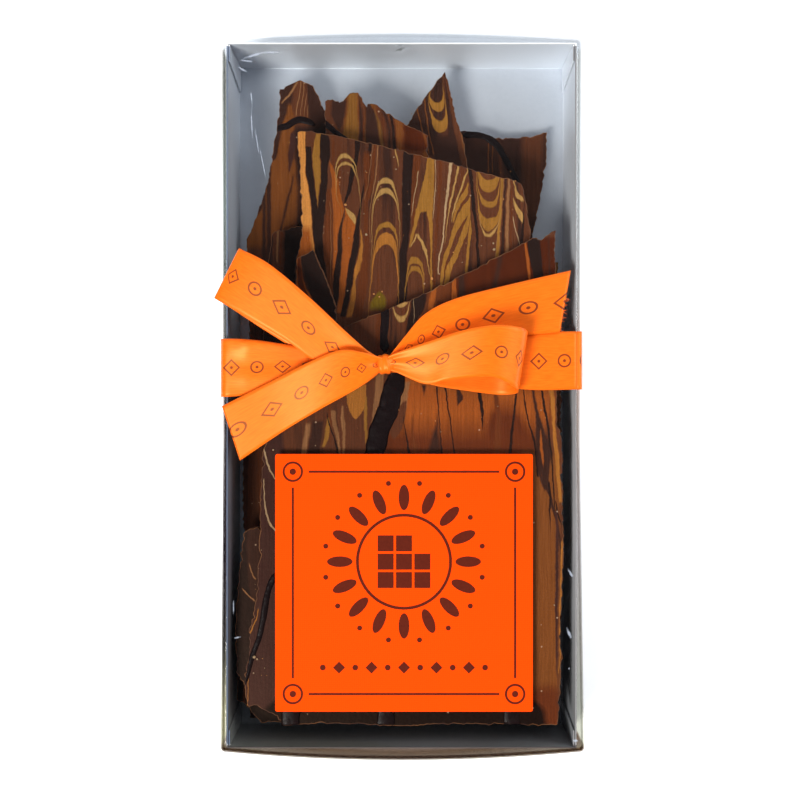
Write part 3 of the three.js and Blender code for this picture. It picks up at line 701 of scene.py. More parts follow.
shard(
    "bark_front", seed=1, layer=4, ground=MOSTLY_MILK,
    corners=[
        (-16.1, 19.8), (7.3, 29.2), (34.4, 43.2), (37.5, 44.9), (39.8, 44.4), (43.8, 47.2), (44.1, 27.2),
        (44.4, -8.1), (45.8, -12.7), (46.3, -42.6), (45.2, -69.7), (45.8, -74.9), (44.6, -94),
        (19.5, -93.7), (1, -94.3), (-20.4, -93.4), (-33.5, -94.2), (-36.1, -90.8), (-44.1, -88.6),
        (-44.9, -82.3), (-43.2, -72.6), (-43.4, -67.5), (-41.2, -56), (-40.6, -42.6), (-39.8, -16.1),
        (-31.8, 0.4), (-22.7, 10.1),
    ],
    drizzle=[
        [2.4, (-4.8, 23.8), (-4.7, 21), (-5.1, 16.7), (-4.4, 12.4)],
        [5.6, (-0.7, 8.4), (-1.6, 4.4), (-3.1, -1.3), (-5, -7), (-6.8, -12.7), (-8.4, -19),
         (-10.1, -29.8)],
        [1.7, (-35.8, -50.6), (-38, -55.5), (-39.4, -62.6), (-40.6, -68.8), (-42.6, -74.6), (-44.3, -80)],
        [5, (-31.8, -84), (-31.7, -89.1), (-31.7, -93.1)],
        [5.6, (-4.4, -84), (-4.4, -89.1), (-4.4, -93.1)],
        [4.8, (31.5, -84), (31.5, -89.1), (31.7, -93.1)],
    ],
    streaks=[
        # painted shadow: this dark auburn patch above the right tail stands for the bow's shadow
        ("auburn", 1.2, (46.6, 49.5, 45.8), (38.1, 8.1, 45.8), (34.4, 8.1, 45.8), (27.2, 8.7, 45.8),
         (14.4, 9.8, 45.8)),
        # painted shadow: the amber band fades into darkened amber toward the label, the label's shadow
        # painted in
        ("rust", 1.2, (18.7, 8.7, 9.8), (13, 0.7, 36.1), (0.1, -3.3, 38.1), (-17, -5.3, 39.5),
         (-46.9, -6.7, 44.1), (-84, -6.7, 45.2), (-96.8, -6.7, 45.8)),
        ("amber", 4, (10.1, -1, 45.2), (3, -2.7, 45.2), (-2.7, -3.9, 45.2), (-8.7, -5, 45.2)),
        ("rust", 3, (-2.4, 25.2, 34.9), (-6.4, 23.5, 36.6), (-14.1, 22.4, 39.5)),
        ("toffee", 1.5, (-16.1, 33.8, 45.8), (-21.2, 28.1, 45.8), (-46.9, 28.1, 45.8), (-84, 28.1, 45.8)),
        ("maroon", 1, (-7, -42.6, -33.5), (-29.8, -43.2, -31.8), (-58.3, -46.1, -31.2),
         (-96.8, -47.2, -30.1)),
        ("drizzle", 0.5, (31.8, 1.9, 6.4), (29.5, 2.7, 7.7), (25.8, 2.6, 7.3), (21.5, 1.6, 5),
         (16.7, 1, 3)),
        ("russet", 0.3, (30.9, 7.6, 11.3), (27.2, 7.6, 10.7), (23.8, 7.3, 10.1)),
        ("amber", 0.4, (30.1, 8.4, 10.4), (27.2, 8, 10.1), (24.4, 7.8, 9.6)),
        ("russet", 0.5, (32.9, 10.7, 14.4), (27.2, 10.1, 14.4)),
        ("amber", 0.4, (32.1, 14.3, 15.8), (27.8, 14.3, 16.7)),
        ("umber", 0.6, (34.1, 16.1, 18.4), (28.4, 16.4, 19)),
        ("umber", 1, (40.1, 27.5, 29.8), (30.1, 25.2, 27.5)),
        ("amber", 0.25, (44.3, 35, 35.8), (41.5, 35.4, 36.4), (38.1, 35.8, 37), (35.2, 36.1, 37),
         (32.4, 36.2, 36.9)),
        ("drizzle", 0.2, (46.6, 35.9, 39.8), (44.1, 36, 39.8), (41.5, 36.4, 40.1), (38.1, 37, 40.4),
         (32.9, 38, 40.9)),
        ("umber", 0.4, (47.8, 41.8, 42.5), (32.4, 42.1, 42.9)),
        ("pale", 0.1, (25.8, 3.6, 3.8), (23.2, 3.7, 3.9), (20.4, 3.6, 3.7)),
        ("tan", 0.5, (-7.6, -27.4, -25.5), (-10.4, -27.8, -25.8), (-13.3, -28.2, -26.2),
         (-17.3, -28.7, -26.7)),
        ("umber", 0.5, (-7, -25.5, -21.8), (-17.3, -26.7, -23.2)),
        ("ochre", 0.4, (-6.1, -21.1, -20.1), (-9.3, -21.7, -20.1), (-11.8, -22.1, -20.5),
         (-14.7, -22.7, -21.4)),
        ("tan", 0.3, (-4.1, -20, -18.3), (-8.4, -19.5, -18.1), (-12.7, -18.4, -17.3),
         (-17.3, -17.5, -16.7)),
        ("drizzle", 0.15, (-4.7, -21.2, -20.8), (-8.4, -20.5, -20), (-11.3, -19.5, -19),
         (-14.1, -18.7, -18), (-17.3, -17.9, -17.1)),
        ("tan", 0.25, (-2.4, -16.8, -16.1), (-7, -17.1, -15.8), (-11.6, -16.8, -15.7),
         (-17.3, -16.6, -15.7)),
        ("caramel", 0.25, (3, -15.8, -9.6), (-1.3, -15.3, -9.8), (-3, -14.8, -10), (-4.4, -14.4, -10.8),
         (-5.7, -13.7, -11.6), (-6.7, -12.7, -12.4)),
        ("ochre", 0.3, (-0.1, -10, -9.3), (-4.1, -10.4, -9.3), (-7.6, -10.5, -9.4), (-10.4, -10.4, -9.4),
         (-13.8, -10.3, -10)),
        ("tan", 0.4, (7.3, -7, -4.4), (1.6, -7.4, -5), (-1.9, -7.8, -6), (-4.7, -8.1, -6.8),
         (-8.1, -8.6, -7.8)),
        ("tan", 0.4, (4.4, 0.7, 3), (0.1, -0.7, 2.3), (-2.7, -1.9, 2), (-5.3, -2.4, 0.1)),
        ("milk", 0.25, (-1.3, 0.7, 2), (-3.6, -1.6, 1.7), (-7, -2.7, 1.1), (-9.8, -3.3, 0.5),
         (-11.6, -2.8, -0.7), (-12.4, -2, -1.6)),
        ("drizzle", 0.12, (-5.3, 0.7, 1), (-9.3, 1.2, 1.6), (-12.7, 1.6, 2.2), (-17.3, 2, 2.9)),
        ("russet", 0.9, (-4.7, 3.4, 4), (-9.8, 3, 4.4), (-14.1, 2.9, 5), (-17.8, 2.9, 5.8)),
        ("umber", 1, (-4.1, 10.3, 11), (-8.1, 9.6, 11.3), (-12.1, 8.4, 11.6), (-17.8, 6.7, 12.1)),
        ("drizzle", 0.15, (4.4, 9.8, 10.4), (-1.3, 10.4, 10.9), (-6.4, 10.9, 11.3), (-11.6, 11.2, 11.7),
         (-17.8, 11.3, 12.3)),
        ("drizzle", 0.15, (4.4, 12.1, 12.9), (-1.3, 13, 13.5), (-6.4, 13.8, 14.3), (-11.6, 14.5, 15),
         (-17.8, 15.1, 15.8)),
        ("umber", 0.5, (3.3, 15.4, 16.2), (1.6, 15.5, 17.1), (-0.4, 15.6, 18), (-1.9, 15.8, 17),
         (-3, 15.9, 16.1)),
        ("umber", 0.5, (3.9, 5.7, 7.4), (2.1, 6.1, 7.2), (0.4, 6.5, 6.8)),
        ("drizzle", 0.2, (2.1, 21.7, 23), (-2.4, 22.4, 23.5), (-5.6, 22.8, 23.8), (-7.8, 23.2, 23.8),
         (-9.3, 23.4, 23.6)),
        ("russet", 0.5, (1, 26.2, 28), (-2.7, 26.7, 28.5), (-6.4, 27.2, 29.1), (-9.8, 26.8, 29.1),
         (-13, 26.5, 28.8), (-17.8, 25.6, 28.8)),
        ("drizzle", 0.2, (3.3, 32.8, 33.6), (-2.7, 32.3, 33.1), (-7.3, 31.8, 32.7), (-12.7, 31.1, 32.1),
         (-17.8, 30.5, 31.7)),
        ("drizzle", 0.12, (3.3, 34.7, 35.1), (-2.7, 35.5, 36), (-7, 36.4, 36.9), (-11.6, 37.4, 38.1),
         (-16.1, 38.2, 38.9), (-22.7, 38.8, 39.5)),
        ("umber", 0.5, (3.3, 36.9, 38.1), (-2.7, 37.8, 39.2), (-7, 38.4, 40.4), (-11.6, 38.2, 41.8),
         (-16.1, 38.2, 43.2), (-21.2, 38.9, 42.6), (-26.4, 40.6, 42.4)),
        ("amber", 0.3, (3.3, 38.5, 39.4), (-2.7, 39.5, 40.2), (-6.4, 40.4, 40.6)),
        ("amber", 0.3, (-9.3, 39.8, 40.2), (-14.4, 39.5, 40.6), (-19, 39.8, 40.9), (-22.4, 40.1, 40.6)),
        ("drizzle", 0.2, (3.3, 39.8, 40.5), (-2.7, 40.5, 41.4), (-7.6, 41.5, 42.4), (-12.7, 42.2, 43),
         (-18.4, 42.9, 43.6), (-27, 43.3, 43.9), (-32.7, 43.8, 44.2)),
        ("caramel", 0.3, (3.3, 42.1, 43.8), (-1.3, 42.6, 44.1), (-7, 43.1, 44.3), (-15, 43.8, 45.2),
         (-24.1, 44.5, 45.9), (-29.8, 44.9, 46.1)),
        ("umber", 0.3, (-15.5, 38.4, 39.8), (-21.2, 39.8, 41.2), (-27, 41.5, 42.8), (-31.2, 42.8, 43.9),
         (-36.6, 44.2, 45), (-42.6, 45.1, 45.8), (-45.8, 45.5, 45.8)),
        ("drizzle", 0.15, (-24.1, 41.8, 42.6), (-28.7, 42.1, 42.9), (-33.2, 42.3, 42.8),
         (-37.8, 42.5, 42.8), (-46.3, 42.8, 42.9)),
        ("drizzle", 0.15, (-29.2, 43.9, 44.3), (-33.2, 44.5, 45.2), (-36.6, 45.5, 45.9)),
        ("maroon", 0.4, (-32.1, 43.8, 44.9), (-41.2, 43.9, 45.2), (-55.5, 43.8, 45.1), (-72.6, 43.9, 45),
         (-78.9, 44.5, 45.1), (-84, 44.8, 45)),
        ("caramel", 0.25, (-41.2, 45.6, 46.3), (-49.8, 45.4, 46.1), (-58.3, 45.2, 45.9),
         (-69.7, 45.1, 45.7), (-78.9, 45.1, 45.5)),
        # painted shade: the low end is painted dark, with darkened amber and near black
        ("rust", 2.5, (-83.4, 37.2, 45.8), (-86.8, 35.5, 45.8), (-96.8, 33.8, 45.8)),
        ("shade", 2, (-85.4, -35.8, 37.8), (-89.1, -39.8, 41.8), (-96.8, -46.1, 42.9)),
        ("pale", 0.1, (-15.3, -39.3, -38.8), (-17.5, -38.7, -38.2), (-19.8, -38, -37.4),
         (-22.4, -36.8, -36.3), (-24.4, -35.6, -35.2)),
        ("pale", 0.1, (-23.5, -39.3, -38.9), (-28.7, -39, -38.6), (-32.7, -38.6, -38),
         (-35.8, -37.8, -37.2), (-38.1, -36.6, -36), (-39.5, -35.5, -34.9)),
        ("caramel", 0.12, (-60.3, -41, -40.6), (-62.9, -41.4, -41), (-66, -42.8, -42.3),
         (-68.9, -43.7, -43.2), (-71.4, -43.7, -43.4)),
    ],
    combs=[
        (-1, 2.6, [(30.7, -3.1, 3), (26.1, -2.9, 2.9), (18.7, -2.4, 2.4)],
         [("yellow", 25.6, 30.7), ("yellow", 21.6, 23)]),
    ],
)

# ---- Small front shard ----
# The small shard at the upper left of the front one, nearly covered in dark drizzle.

shard(
    "bark_small_front", seed=2, layer=4, ground=MOSTLY_DARK,
    corners=[
        (-30.1, 39.2), (-25.2, 41.5), (-21.8, 34.4), (-18.9, 26), (-18.5, 21.4), (-24.2, 13),
        (-28.9, 15.8), (-29.8, 27.2),
    ],
    streaks=[
        ("amber", 0.5, (42.6, -31.2, -28.7), (39.2, -30.7, -28.4), (35.8, -30.7, -27.8),
         (31.5, -30.7, -26.7), (27.2, -29.8, -24.4), (14.4, -28.9, -20.4)),
        ("auburn", 0.5, (40.9, -29.7, -28.7), (36.9, -29.7, -28), (32.9, -29.4, -27.4),
         (29.5, -28.5, -26.4), (14.4, -27.2, -22.1)),
        ("drizzle", 0.3, (42.1, -28.8, -23.8), (39.2, -28.5, -23.8), (36.9, -27.8, -22.7),
         (34.1, -27.1, -21.5), (30.1, -26.1, -19.3), (14.4, -21.5, -16.1)),
    ],
)

# ---- Middle shard ----
# The wide shard behind the front one shows most of its marbling: nested arches where the comb
# turned, a fan of pale lines, and dark lines that sank in level with the top.

shard(
    "bark_middle", seed=3, layer=3, ground=MOSTLY_MILK,
    corners=[
        (-30.2, 76.5), (-28.8, 77.1), (-12, 73.9), (11.1, 68.2), (34.9, 61.5), (36.3, 55.1), (37.2, 46.4),
        (38.3, 19), (36.6, -59.2), (8.2, -63.5), (-29.4, -59.2), (-31.7, -18.7), (-31.4, 19),
        (-30.5, 39.2), (-28.8, 46.4), (-29.4, 62.4),
    ],
    streaks=[
        ("honey", 0.25, (78.6, -31.4, -27.1), (72.5, -31.4, -27.6), (68.2, -31.4, -27.3),
         (63.8, -30.8, -27.1), (58.9, -30.2, -26.3), (54.3, -30, -25.8), (49.3, -29.7, -25.4),
         (44.4, -30, -25), (38.6, -31.1, -24.7)),
        ("amber", 1.2, (49.1, -31.1, -25.4), (44.4, -31.1, -25), (38.6, -31.7, -24.7)),
        ("ochre", 0.25, (78, -24.3, -22.8), (75.7, -24.7, -23), (73.4, -25.4, -23.3), (70.2, -25.7, -23.3),
         (67, -25.4, -22.9), (63.8, -25.1, -23.1), (58.9, -24.5, -23.6), (54.3, -23.9, -23.8)),
        ("drizzle", 0.15, (72.8, -27.9, -26), (68.7, -27.5, -25.6), (63.8, -27.1, -25.1),
         (58.9, -26.3, -24.5), (54.3, -25.7, -23.8), (49.3, -25.4, -23.3), (44.4, -25, -22.5),
         (40.1, -24.9, -22.4)),
        ("drizzle", 0.15, (78, -23.1, -21.4), (75.7, -23.2, -20.9), (73.4, -23.5, -20.4),
         (70.2, -23.5, -20.3), (67.9, -22.9, -20.7), (63.8, -23.2, -21.1), (58.9, -23.6, -21.4),
         (54.3, -24, -21.8), (49.3, -24.9, -22.3), (44.4, -24.9, -22.5), (40.1, -25, -22.4)),
        ("drizzle", 0.4, (41.5, -25.1, -22.4), (38.6, -25.6, -21.8), (36.3, -26.1, -21.3),
         (33.1, -26.1, -20.9), (30, -24.5, -20.3), (26.8, -22.4, -19.3), (23, -21.8, -18.7)),
        ("russet", 0.4, (60.6, -21.3, -20.1), (54.3, -21.8, -19.8), (49.3, -22.2, -19.7),
         (44.4, -22.5, -19.7), (40.1, -22.4, -19.8), (36.3, -21.3, -19.7), (31.4, -20.7, -19.5),
         (27.6, -20.4, -19.4)),
        ("tan", 0.1, (56.6, -20.6, -20.4), (45, -20.4, -20.2), (36.3, -20.3, -20.1), (29.7, -20.2, -20.1)),
        ("amber", 0.25, (68.7, -20.6, -20.5), (66.7, -20.5, -19.4), (63.8, -20.2, -18.4),
         (60.6, -20.1, -17.6), (57.4, -19.9, -16.9), (54.6, -19.8, -16.4), (53.7, -19.8, -16.5),
         (49.3, -19.7, -17.5), (46.2, -19.7, -18.1), (41.2, -19.7, -18.4), (36.3, -19.7, -19),
         (33.1, -19.6, -19.4)),
        ("amber", 0.3, (55.1, -16.5, -16.1), (53.7, -16.4, -15), (51.4, -16.5, -13.5),
         (49.1, -16.9, -12.9), (46.2, -16.9, -13.5), (41.2, -17, -14.3), (36.3, -17.3, -15.1),
         (33.1, -17.7, -15.7), (28.5, -18.1, -16.4), (24.2, -18.7, -17)),
        ("drizzle", 0.15, (54, -16.6, -16.4), (49.3, -17.6, -16.9), (46.2, -18, -16.9), (41.2, -18.5, -17),
         (36.3, -19.1, -17.3), (33.1, -19.5, -17.6), (30, -19.7, -17.9), (26.8, -19.8, -18.4),
         (23, -19.7, -18.7)),
        ("yellow", 0.15, (54.7, -16.2, -15.9), (53.8, -15.9, -14.6), (52.5, -15.5, -13.3),
         (51.5, -14.7, -12.8), (50.6, -13.7, -12.8), (49.8, -13.2, -13)),
        ("drizzle", 0.15, (74.2, -13.3, -11.5), (70.2, -13.3, -12), (67, -14.3, -12.5),
         (63.8, -14.9, -13.3), (60.6, -15.5, -14.2), (57.4, -16.3, -15.5), (55.9, -16.4, -16.1)),
        ("drizzle", 0.15, (73.4, -9.5, -8.4), (68.7, -9.8, -8.8), (65.4, -10.2, -9.4), (62.2, -10.8, -9.9),
         (58.9, -11.4, -10.6), (55.7, -11.9, -11.2), (52.5, -12.5, -11.5), (49.3, -13, -11.7),
         (46.2, -13.6, -11.9), (43, -14.2, -12.3), (39.8, -14.8, -12.8), (36.3, -15.2, -13.4),
         (33.1, -15.7, -13.9), (30, -16.2, -14.8), (26.8, -16.8, -15.2), (23, -17.4, -15.9)),
        ("caramel", 0.25, (48.5, -11.7, -11.3), (46.2, -11.7, -11), (43, -12.2, -11), (39.8, -12.6, -11),
         (37.2, -13.3, -11.4), (35.2, -13.6, -12.6), (33.1, -13.9, -13.1), (30, -14.6, -12.9),
         (26.8, -15.1, -13.3), (23, -15.8, -14)),
        ("russet", 0.6, (71, -11.1, -8.5), (56.6, -10.9, -9.1), (43, -11, -8.9), (33.1, -12.9, -9.4),
         (23, -13.7, -10.9)),
        ("tan", 0.1, (71.6, -6.9, -6.5), (67, -7.1, -6.8), (63.8, -7.6, -7.1), (58.9, -8.4, -8.1),
         (52.5, -8.9, -8.7), (45, -9.1, -8.9)),
        ("tan", 0.08, (71.9, -8.3, -8.1), (63.8, -9.3, -9.1), (56.6, -10.7, -10.5)),
        ("russet", 0.3, (71.9, -8.1, -7.1), (63.8, -8.9, -7.7), (56.6, -10.3, -8.8)),
        ("olive", 0.8, (30.8, -6.5, -5.3), (29.4, -7.8, -4.3), (28.1, -8.5, -3.8), (26.8, -9.1, -3.6),
         (25, -9.3, -4.3)),
        ("yellow", 0.12, (71.6, -1.6, -1.2), (69, -1, -0.5), (66.4, -0.6, -0.4)),
        ("drizzle", 0.3, (71, 0.8, 3.9), (64.4, 0.5, 3.6), (57.9, 0.4, 3.3), (51.4, 0.2, 3),
         (45, 0.1, 2.5), (38.6, -0.6, 2.1), (32.1, -0.8, 2.1), (25.3, -1.5, 1.5)),
        ("russet", 0.4, (69.3, 3.9, 6.2), (62.9, 3.7, 5.1), (56.6, 3.4, 4.5), (47.9, 3, 3.4)),
        ("pale", 0.1, (65.3, 4.9, 5.2), (60.9, 4.3, 4.6), (56.6, 3.7, 4), (52.5, 3.2, 3.4)),
        ("ochre", 0.2, (68.7, 7.6, 10.1), (65.8, 7.1, 9.9), (62.7, 6.3, 9.7), (59.5, 5.7, 9.7),
         (56.6, 5.2, 9.6), (54.6, 4.7, 9.5), (53.8, 4.4, 9.5)),
        ("ochre", 0.2, (54.6, 7.4, 9.5), (53.1, 7.6, 9.4), (51.4, 7.9, 9.4), (48.2, 8.2, 9.4),
         (45, 8.5, 9.3), (41.8, 8.6, 9.3), (36.9, 8.5, 9.2), (30.5, 8.2, 9.1)),
        ("ochre", 0.2, (54.6, 4.6, 7), (54, 4.4, 6.3), (52.1, 4.1, 5.5), (49.9, 3.6, 4.9),
         (47.6, 3.1, 4.2), (45, 2.6, 3.5), (43, 2.4, 2.9)),
        ("yellow", 0.12, (46.9, 4.4, 5.1), (46.3, 4.8, 5.6), (45, 5.5, 6.5), (43.4, 6.3, 7.3),
         (41.8, 7.1, 7.8), (39.2, 7.8, 8.2), (35.7, 8.2, 8.5)),
        ("yellow", 0.12, (46.9, 4.3, 4.9), (46.2, 4.1, 4.7), (45, 3.6, 4.2), (43.3, 2.8, 3.2)),
        ("pale", 0.1, (68.7, 10.1, 10.4), (64.4, 10, 10.2), (59.5, 9.8, 10.1), (51.4, 9.4, 9.6)),
        ("russet", 0.4, (68.7, 10.9, 12.5), (61.2, 10.6, 12), (54.6, 10.5, 11.6), (48.2, 9.8, 11),
         (41.8, 9.5, 10.6), (35.5, 9.2, 10.3), (28.8, 8.8, 10)),
        ("pale", 0.12, (67.3, 14.1, 15.2), (64.4, 13.8, 14.7), (61.1, 13.4, 14.2), (57.9, 13, 13.8),
         (54.6, 12.7, 13.4), (49.9, 12.3, 12.8), (45, 11.8, 12.3), (40.1, 11.1, 11.6), (35.7, 10.6, 11)),
        ("yellow", 0.12, (67, 16.5, 17.3), (64.4, 16, 16.6), (61.1, 15.1, 15.7), (57.9, 14.4, 15),
         (54.6, 13.9, 14.4), (49.9, 13.2, 13.5), (44.7, 12.6, 12.8)),
        ("yellow", 0.12, (65.5, 19.1, 19.5), (64.7, 18.8, 19.3), (62.7, 17.9, 18.5), (61.1, 17.2, 17.9),
         (58.6, 16.3, 16.8), (56, 15.5, 16.1), (53.4, 15, 15.4), (50.5, 14.5, 14.7)),
        ("ochre", 0.15, (62.1, 19.1, 19.7), (61.2, 18.7, 19.5), (59.8, 17.7, 19.5), (57.9, 16.8, 18.5),
         (56, 16.1, 17.4), (53.4, 15.4, 16.3), (50.5, 14.8, 15.4)),
        ("ochre", 0.15, (58.4, 19.7, 20.1), (57.7, 19.4, 20.1), (56, 18.2, 20.1), (54, 17.1, 20.1),
         (52.1, 16.1, 19), (49.5, 15.3, 17.4), (47, 14.5, 16), (44.4, 13.7, 15), (41.8, 12.9, 14.2),
         (39.2, 12.3, 13.5), (36, 11.6, 12.7), (32.8, 11.1, 12.1), (30.5, 10.9, 11.9)),
        ("ochre", 0.15, (54, 19.8, 20.2), (52.8, 19.4, 20.2), (51.4, 18.9, 20), (48.2, 17.7, 19.4),
         (45, 16.6, 18.2), (41.8, 15.3, 17.1), (39.2, 14.2, 16.1), (36.9, 13.2, 15), (34.3, 12.6, 14.2),
         (31.4, 12, 13.2)),
        ("ochre", 0.15, (51.4, 20, 20.3), (50.5, 19.8, 20.3), (48.2, 19.5, 20.5), (45, 19.3, 20.2),
         (41.8, 19.1, 20), (38.6, 18.9, 19.8), (32.8, 18.4, 19.2)),
        ("drizzle", 0.15, (65.8, 19.2, 20.5), (61.1, 20, 21.1), (56.3, 20.3, 21.6), (51.4, 21, 22.1),
         (46.6, 21.6, 22.5), (41.8, 21.9, 22.9), (36.3, 22.1, 23.2)),
        ("tan", 0.25, (63.5, 29, 30.1), (58.6, 29, 30), (54.6, 28.7, 29.6), (51.4, 28.4, 29.3),
         (46.6, 27.9, 29), (43.4, 27.4, 28.8), (38.6, 26.9, 28.3)),
        ("ochre", 0.2, (63.5, 29.1, 30), (58.6, 29.1, 29.8), (54.6, 28.8, 29.5), (46.6, 28, 28.9),
         (38.6, 27, 28.2)),
        ("umber", 0.2, (63.5, 30.2, 31), (54.6, 29.7, 30.5), (45, 29.1, 30.2), (39.8, 28.8, 30.1)),
        ("tan", 0.25, (62.9, 31.1, 32), (54.6, 30.6, 31.7), (48.2, 30.3, 31.5), (41.8, 30.3, 31.5),
         (38.6, 30.3, 31.4)),
        ("russet", 0.3, (62.9, 32.1, 32.7), (50.8, 31.8, 32.4), (42.1, 31.6, 32.4)),
        ("yellow", 0.15, (61.8, 32.7, 33.2), (61.1, 32.9, 33.4), (59.5, 33.1, 34), (58.5, 33.3, 34.6),
         (57.4, 34, 35.7), (56.4, 35, 35.9)),
        ("yellow", 0.15, (57.7, 32.7, 33), (56, 32.9, 33.7), (54.6, 33.2, 34.4), (53.4, 33.7, 35.6),
         (52.1, 34.3, 35.5), (50.6, 35.1, 35.5)),
        ("pale", 0.1, (52.5, 32.5, 32.8), (49.5, 32.9, 33.2), (46.9, 33.7, 34), (44.1, 34.6, 34.8)),
        ("drizzle", 0.2, (57.2, 35.8, 36.1), (54.8, 35.6, 36), (51.4, 35.2, 35.9), (48.2, 34.8, 35.8),
         (44.4, 34.6, 35.7), (41.5, 34.5, 35.7)),
    ],
    combs=[
        (1, 4, [(72.5, -19.7, -12.5), (66.7, -19.7, -11.9), (56.6, -18.4, -11.4), (55.4, -17.5, -11.4)],
         [("yellow", 70.9, 69.7), ("yellow", 68.3, 67.3)]),
        (1, 4.5, [(71, -8.9, 0.3), (56.6, -8.8, 0.3), (42.1, -8.8, 0), (24.7, -9.6, -0.4)],
         [("yellow", 63.4, 62), ("yellow", 60.7, 59.2), ("ochre", 50.7, 49.2), ("caramel", 47.5, 43.7)]),
        (1, 3, [(43.6, 1.6, 7.4), (38.6, 1.4, 7.4), (27.6, 0.7, 6.5)],
         [("ochre", 40.8, 38.6), ("ochre", 37.8, 36.4)]),
        (-1, 3, [(66.7, 21.4, 29.4), (56.6, 21.8, 29.5), (46.4, 22.3, 29.1), (37.5, 23, 28.2)],
         [("ochre", 62.8, 59.2), ("ochre", 56.5, 54.7), ("ochre", 51.1, 47.7), ("yellow", 47.1, 46.3)]),
    ],
)

# ---- Low left shard ----
# The dark shard at the lower left, half behind the front one.

shard(
    "bark_low_left", seed=4, layer=3, ground=MOSTLY_DARK,
    corners=[
        (-45.6, -39.5), (-41.8, -38.1), (-34.3, -46.2), (-34.4, -84.8), (-45, -84.5), (-47.9, -80),
        (-48.1, -62.1), (-47, -51.9),
    ],
    streaks=[
        ("drizzle", 1, (-37.5, -51.1, -40.4), (-59.2, -51.1, -40.4), (-88.1, -51.1, -40.4)),
        ("umber", 0.8, (-38.1, -44.4, -40.4), (-43.3, -45, -40.4), (-59.2, -43.8, -40.4)),
        ("tan", 0.12, (-48.2, -44.2, -43.8), (-49.9, -43.6, -43.1), (-52.5, -42.2, -41.6)),
        ("tan", 0.12, (-55.4, -46.3, -45.9), (-56.9, -44.9, -44.2), (-58.9, -42.6, -41.9)),
        ("drizzle", 1, (-59.2, -51.1, -43.8), (-70.8, -51.1, -45), (-85.2, -51.1, -45)),
    ],
)

# ---- Left shard ----
# The narrow dark shard at the left, under the loop of the bow.

shard(
    "bark_left", seed=5, layer=2, ground=MOSTLY_DARK,
    corners=[
        (-38, 47.7), (-29.8, 49.8), (-24.9, 45.7), (-24.9, -24.8), (-38.6, -30.7), (-41, -1.3),
        (-40.4, 28),
    ],
    streaks=[
        ("milk", 0.6, (49.8, -38.3, -34.2), (44.2, -39.2, -34.2), (35.4, -41, -34.5),
         (19.2, -42.1, -35.1)),
        ("umber", 0.4, (48.6, -38.6, -37.1), (42.7, -39.2, -37.4), (33.9, -41, -38)),
        ("tan", 0.3, (48, -36.4, -35.6), (44.2, -36.6, -35.7), (39.2, -36.8, -36)),
        ("russet", 0.3, (48, -35.4, -34.6), (39.2, -35.8, -34.9)),
        ("drizzle", 0.4, (50.9, -34.2, -24.5), (42.7, -34.3, -24.5), (28, -34.5, -24.5),
         (-21.9, -35.1, -24.5)),
    ],
)

# ---- Rear centre shard ----
# The ragged shard at the rear, in soft bands of caramel and dark chocolate.

shard(
    "bark_rear_centre", seed=6, layer=2, ground=MIXED,
    corners=[
        (-22.5, 86.5), (-20.1, 87), (-18.1, 85.9), (-14.5, 89.1), (-12.8, 88.8), (-10.4, 85.6),
        (-8.1, 85.9), (-1.9, 81.5), (7.8, 76.5), (7.2, -21.9), (-19.5, -24.8), (-21.9, 28),
    ],
    drizzle=[
        [1.8, (-22.3, 79.9), (-20.1, 78), (-16.6, 75.3), (-13.4, 73)],
    ],
    streaks=[
        ("milk", 0.6, (91.2, -23.3, -15.1), (85.3, -23.3, -16.6), (79.4, -23.9, -16.6),
         (72.1, -23.9, -15.1)),
        ("umber", 0.6, (87.3, -20.4, -15.6), (85.6, -20.6, -15.7), (83.5, -20.7, -16),
         (81.5, -20.2, -16.4), (79.7, -19.4, -17), (78.2, -18.4, -17.8)),
        ("bronze", 0.8, (90.3, -15.7, -12.6), (85.3, -15.9, -12.5), (82.1, -16.3, -12.2),
         (78.5, -17.2, -11.9), (74.4, -19.2, -11.9)),
        ("umber", 0.6, (87.3, -12.8, -11.9), (83.2, -12.4, -11), (78, -12.2, -10.6), (73.5, -12.2, -10.4)),
        ("umber", 0.8, (86.8, -11, -8.7), (82.4, -10.8, -6.3), (78, -10.7, -5), (72.1, -10.4, -4)),
        ("bronze", 1, (84.4, -8.1, -7.2), (80.9, -7.2, -5.7), (76.8, -6.6, -5), (72.1, -6, -4.6)),
        ("umber", 0.7, (84.4, -6, -4), (79.4, -4.6, -2.8), (72.1, -4, -2.2)),
        ("drizzle", 0.5, (82.6, -3.6, -2.1), (78, -3.1, -1.6), (72.1, -2.5, -0.9)),
        ("toffee", 0.4, (82.1, -1.6, -0.4), (76.8, -1.3, 0.1), (70.6, -0.7, 0.7)),
        ("auburn", 0.8, (81.5, 0.3, 6), (72.1, 0.7, 8.4)),
    ],
)

# ---- Low right shard ----
# The caramel shard whose edge shows at the right of the front one and at the lower end.

shard(
    "bark_low_right", seed=7, layer=2, ground=MIXED,
    corners=[
        (11.3, 28), (34.8, 37.4), (42.1, 39.2), (46.2, 39.2), (46.5, 19.2), (47, -36.6), (46.5, -71.8),
        (45.4, -95.9), (10.6, -94.7),
    ],
    streaks=[
        ("ochre", 0.4, (41.3, 45.1, 47.1), (31, 44.5, 46.8)),
        # painted shade: the low end is painted dark, with darkened amber and near black
        ("rust", 0.6, (-86.5, 11.3, 21.9), (-98.2, 10.1, 23.6)),
        ("shade", 1.5, (-89.4, 21.9, 40.7), (-99.7, 20.1, 46.5)),
    ],
)

# ---- Low centre shard ----
# The dark shard that shows at the lower end.

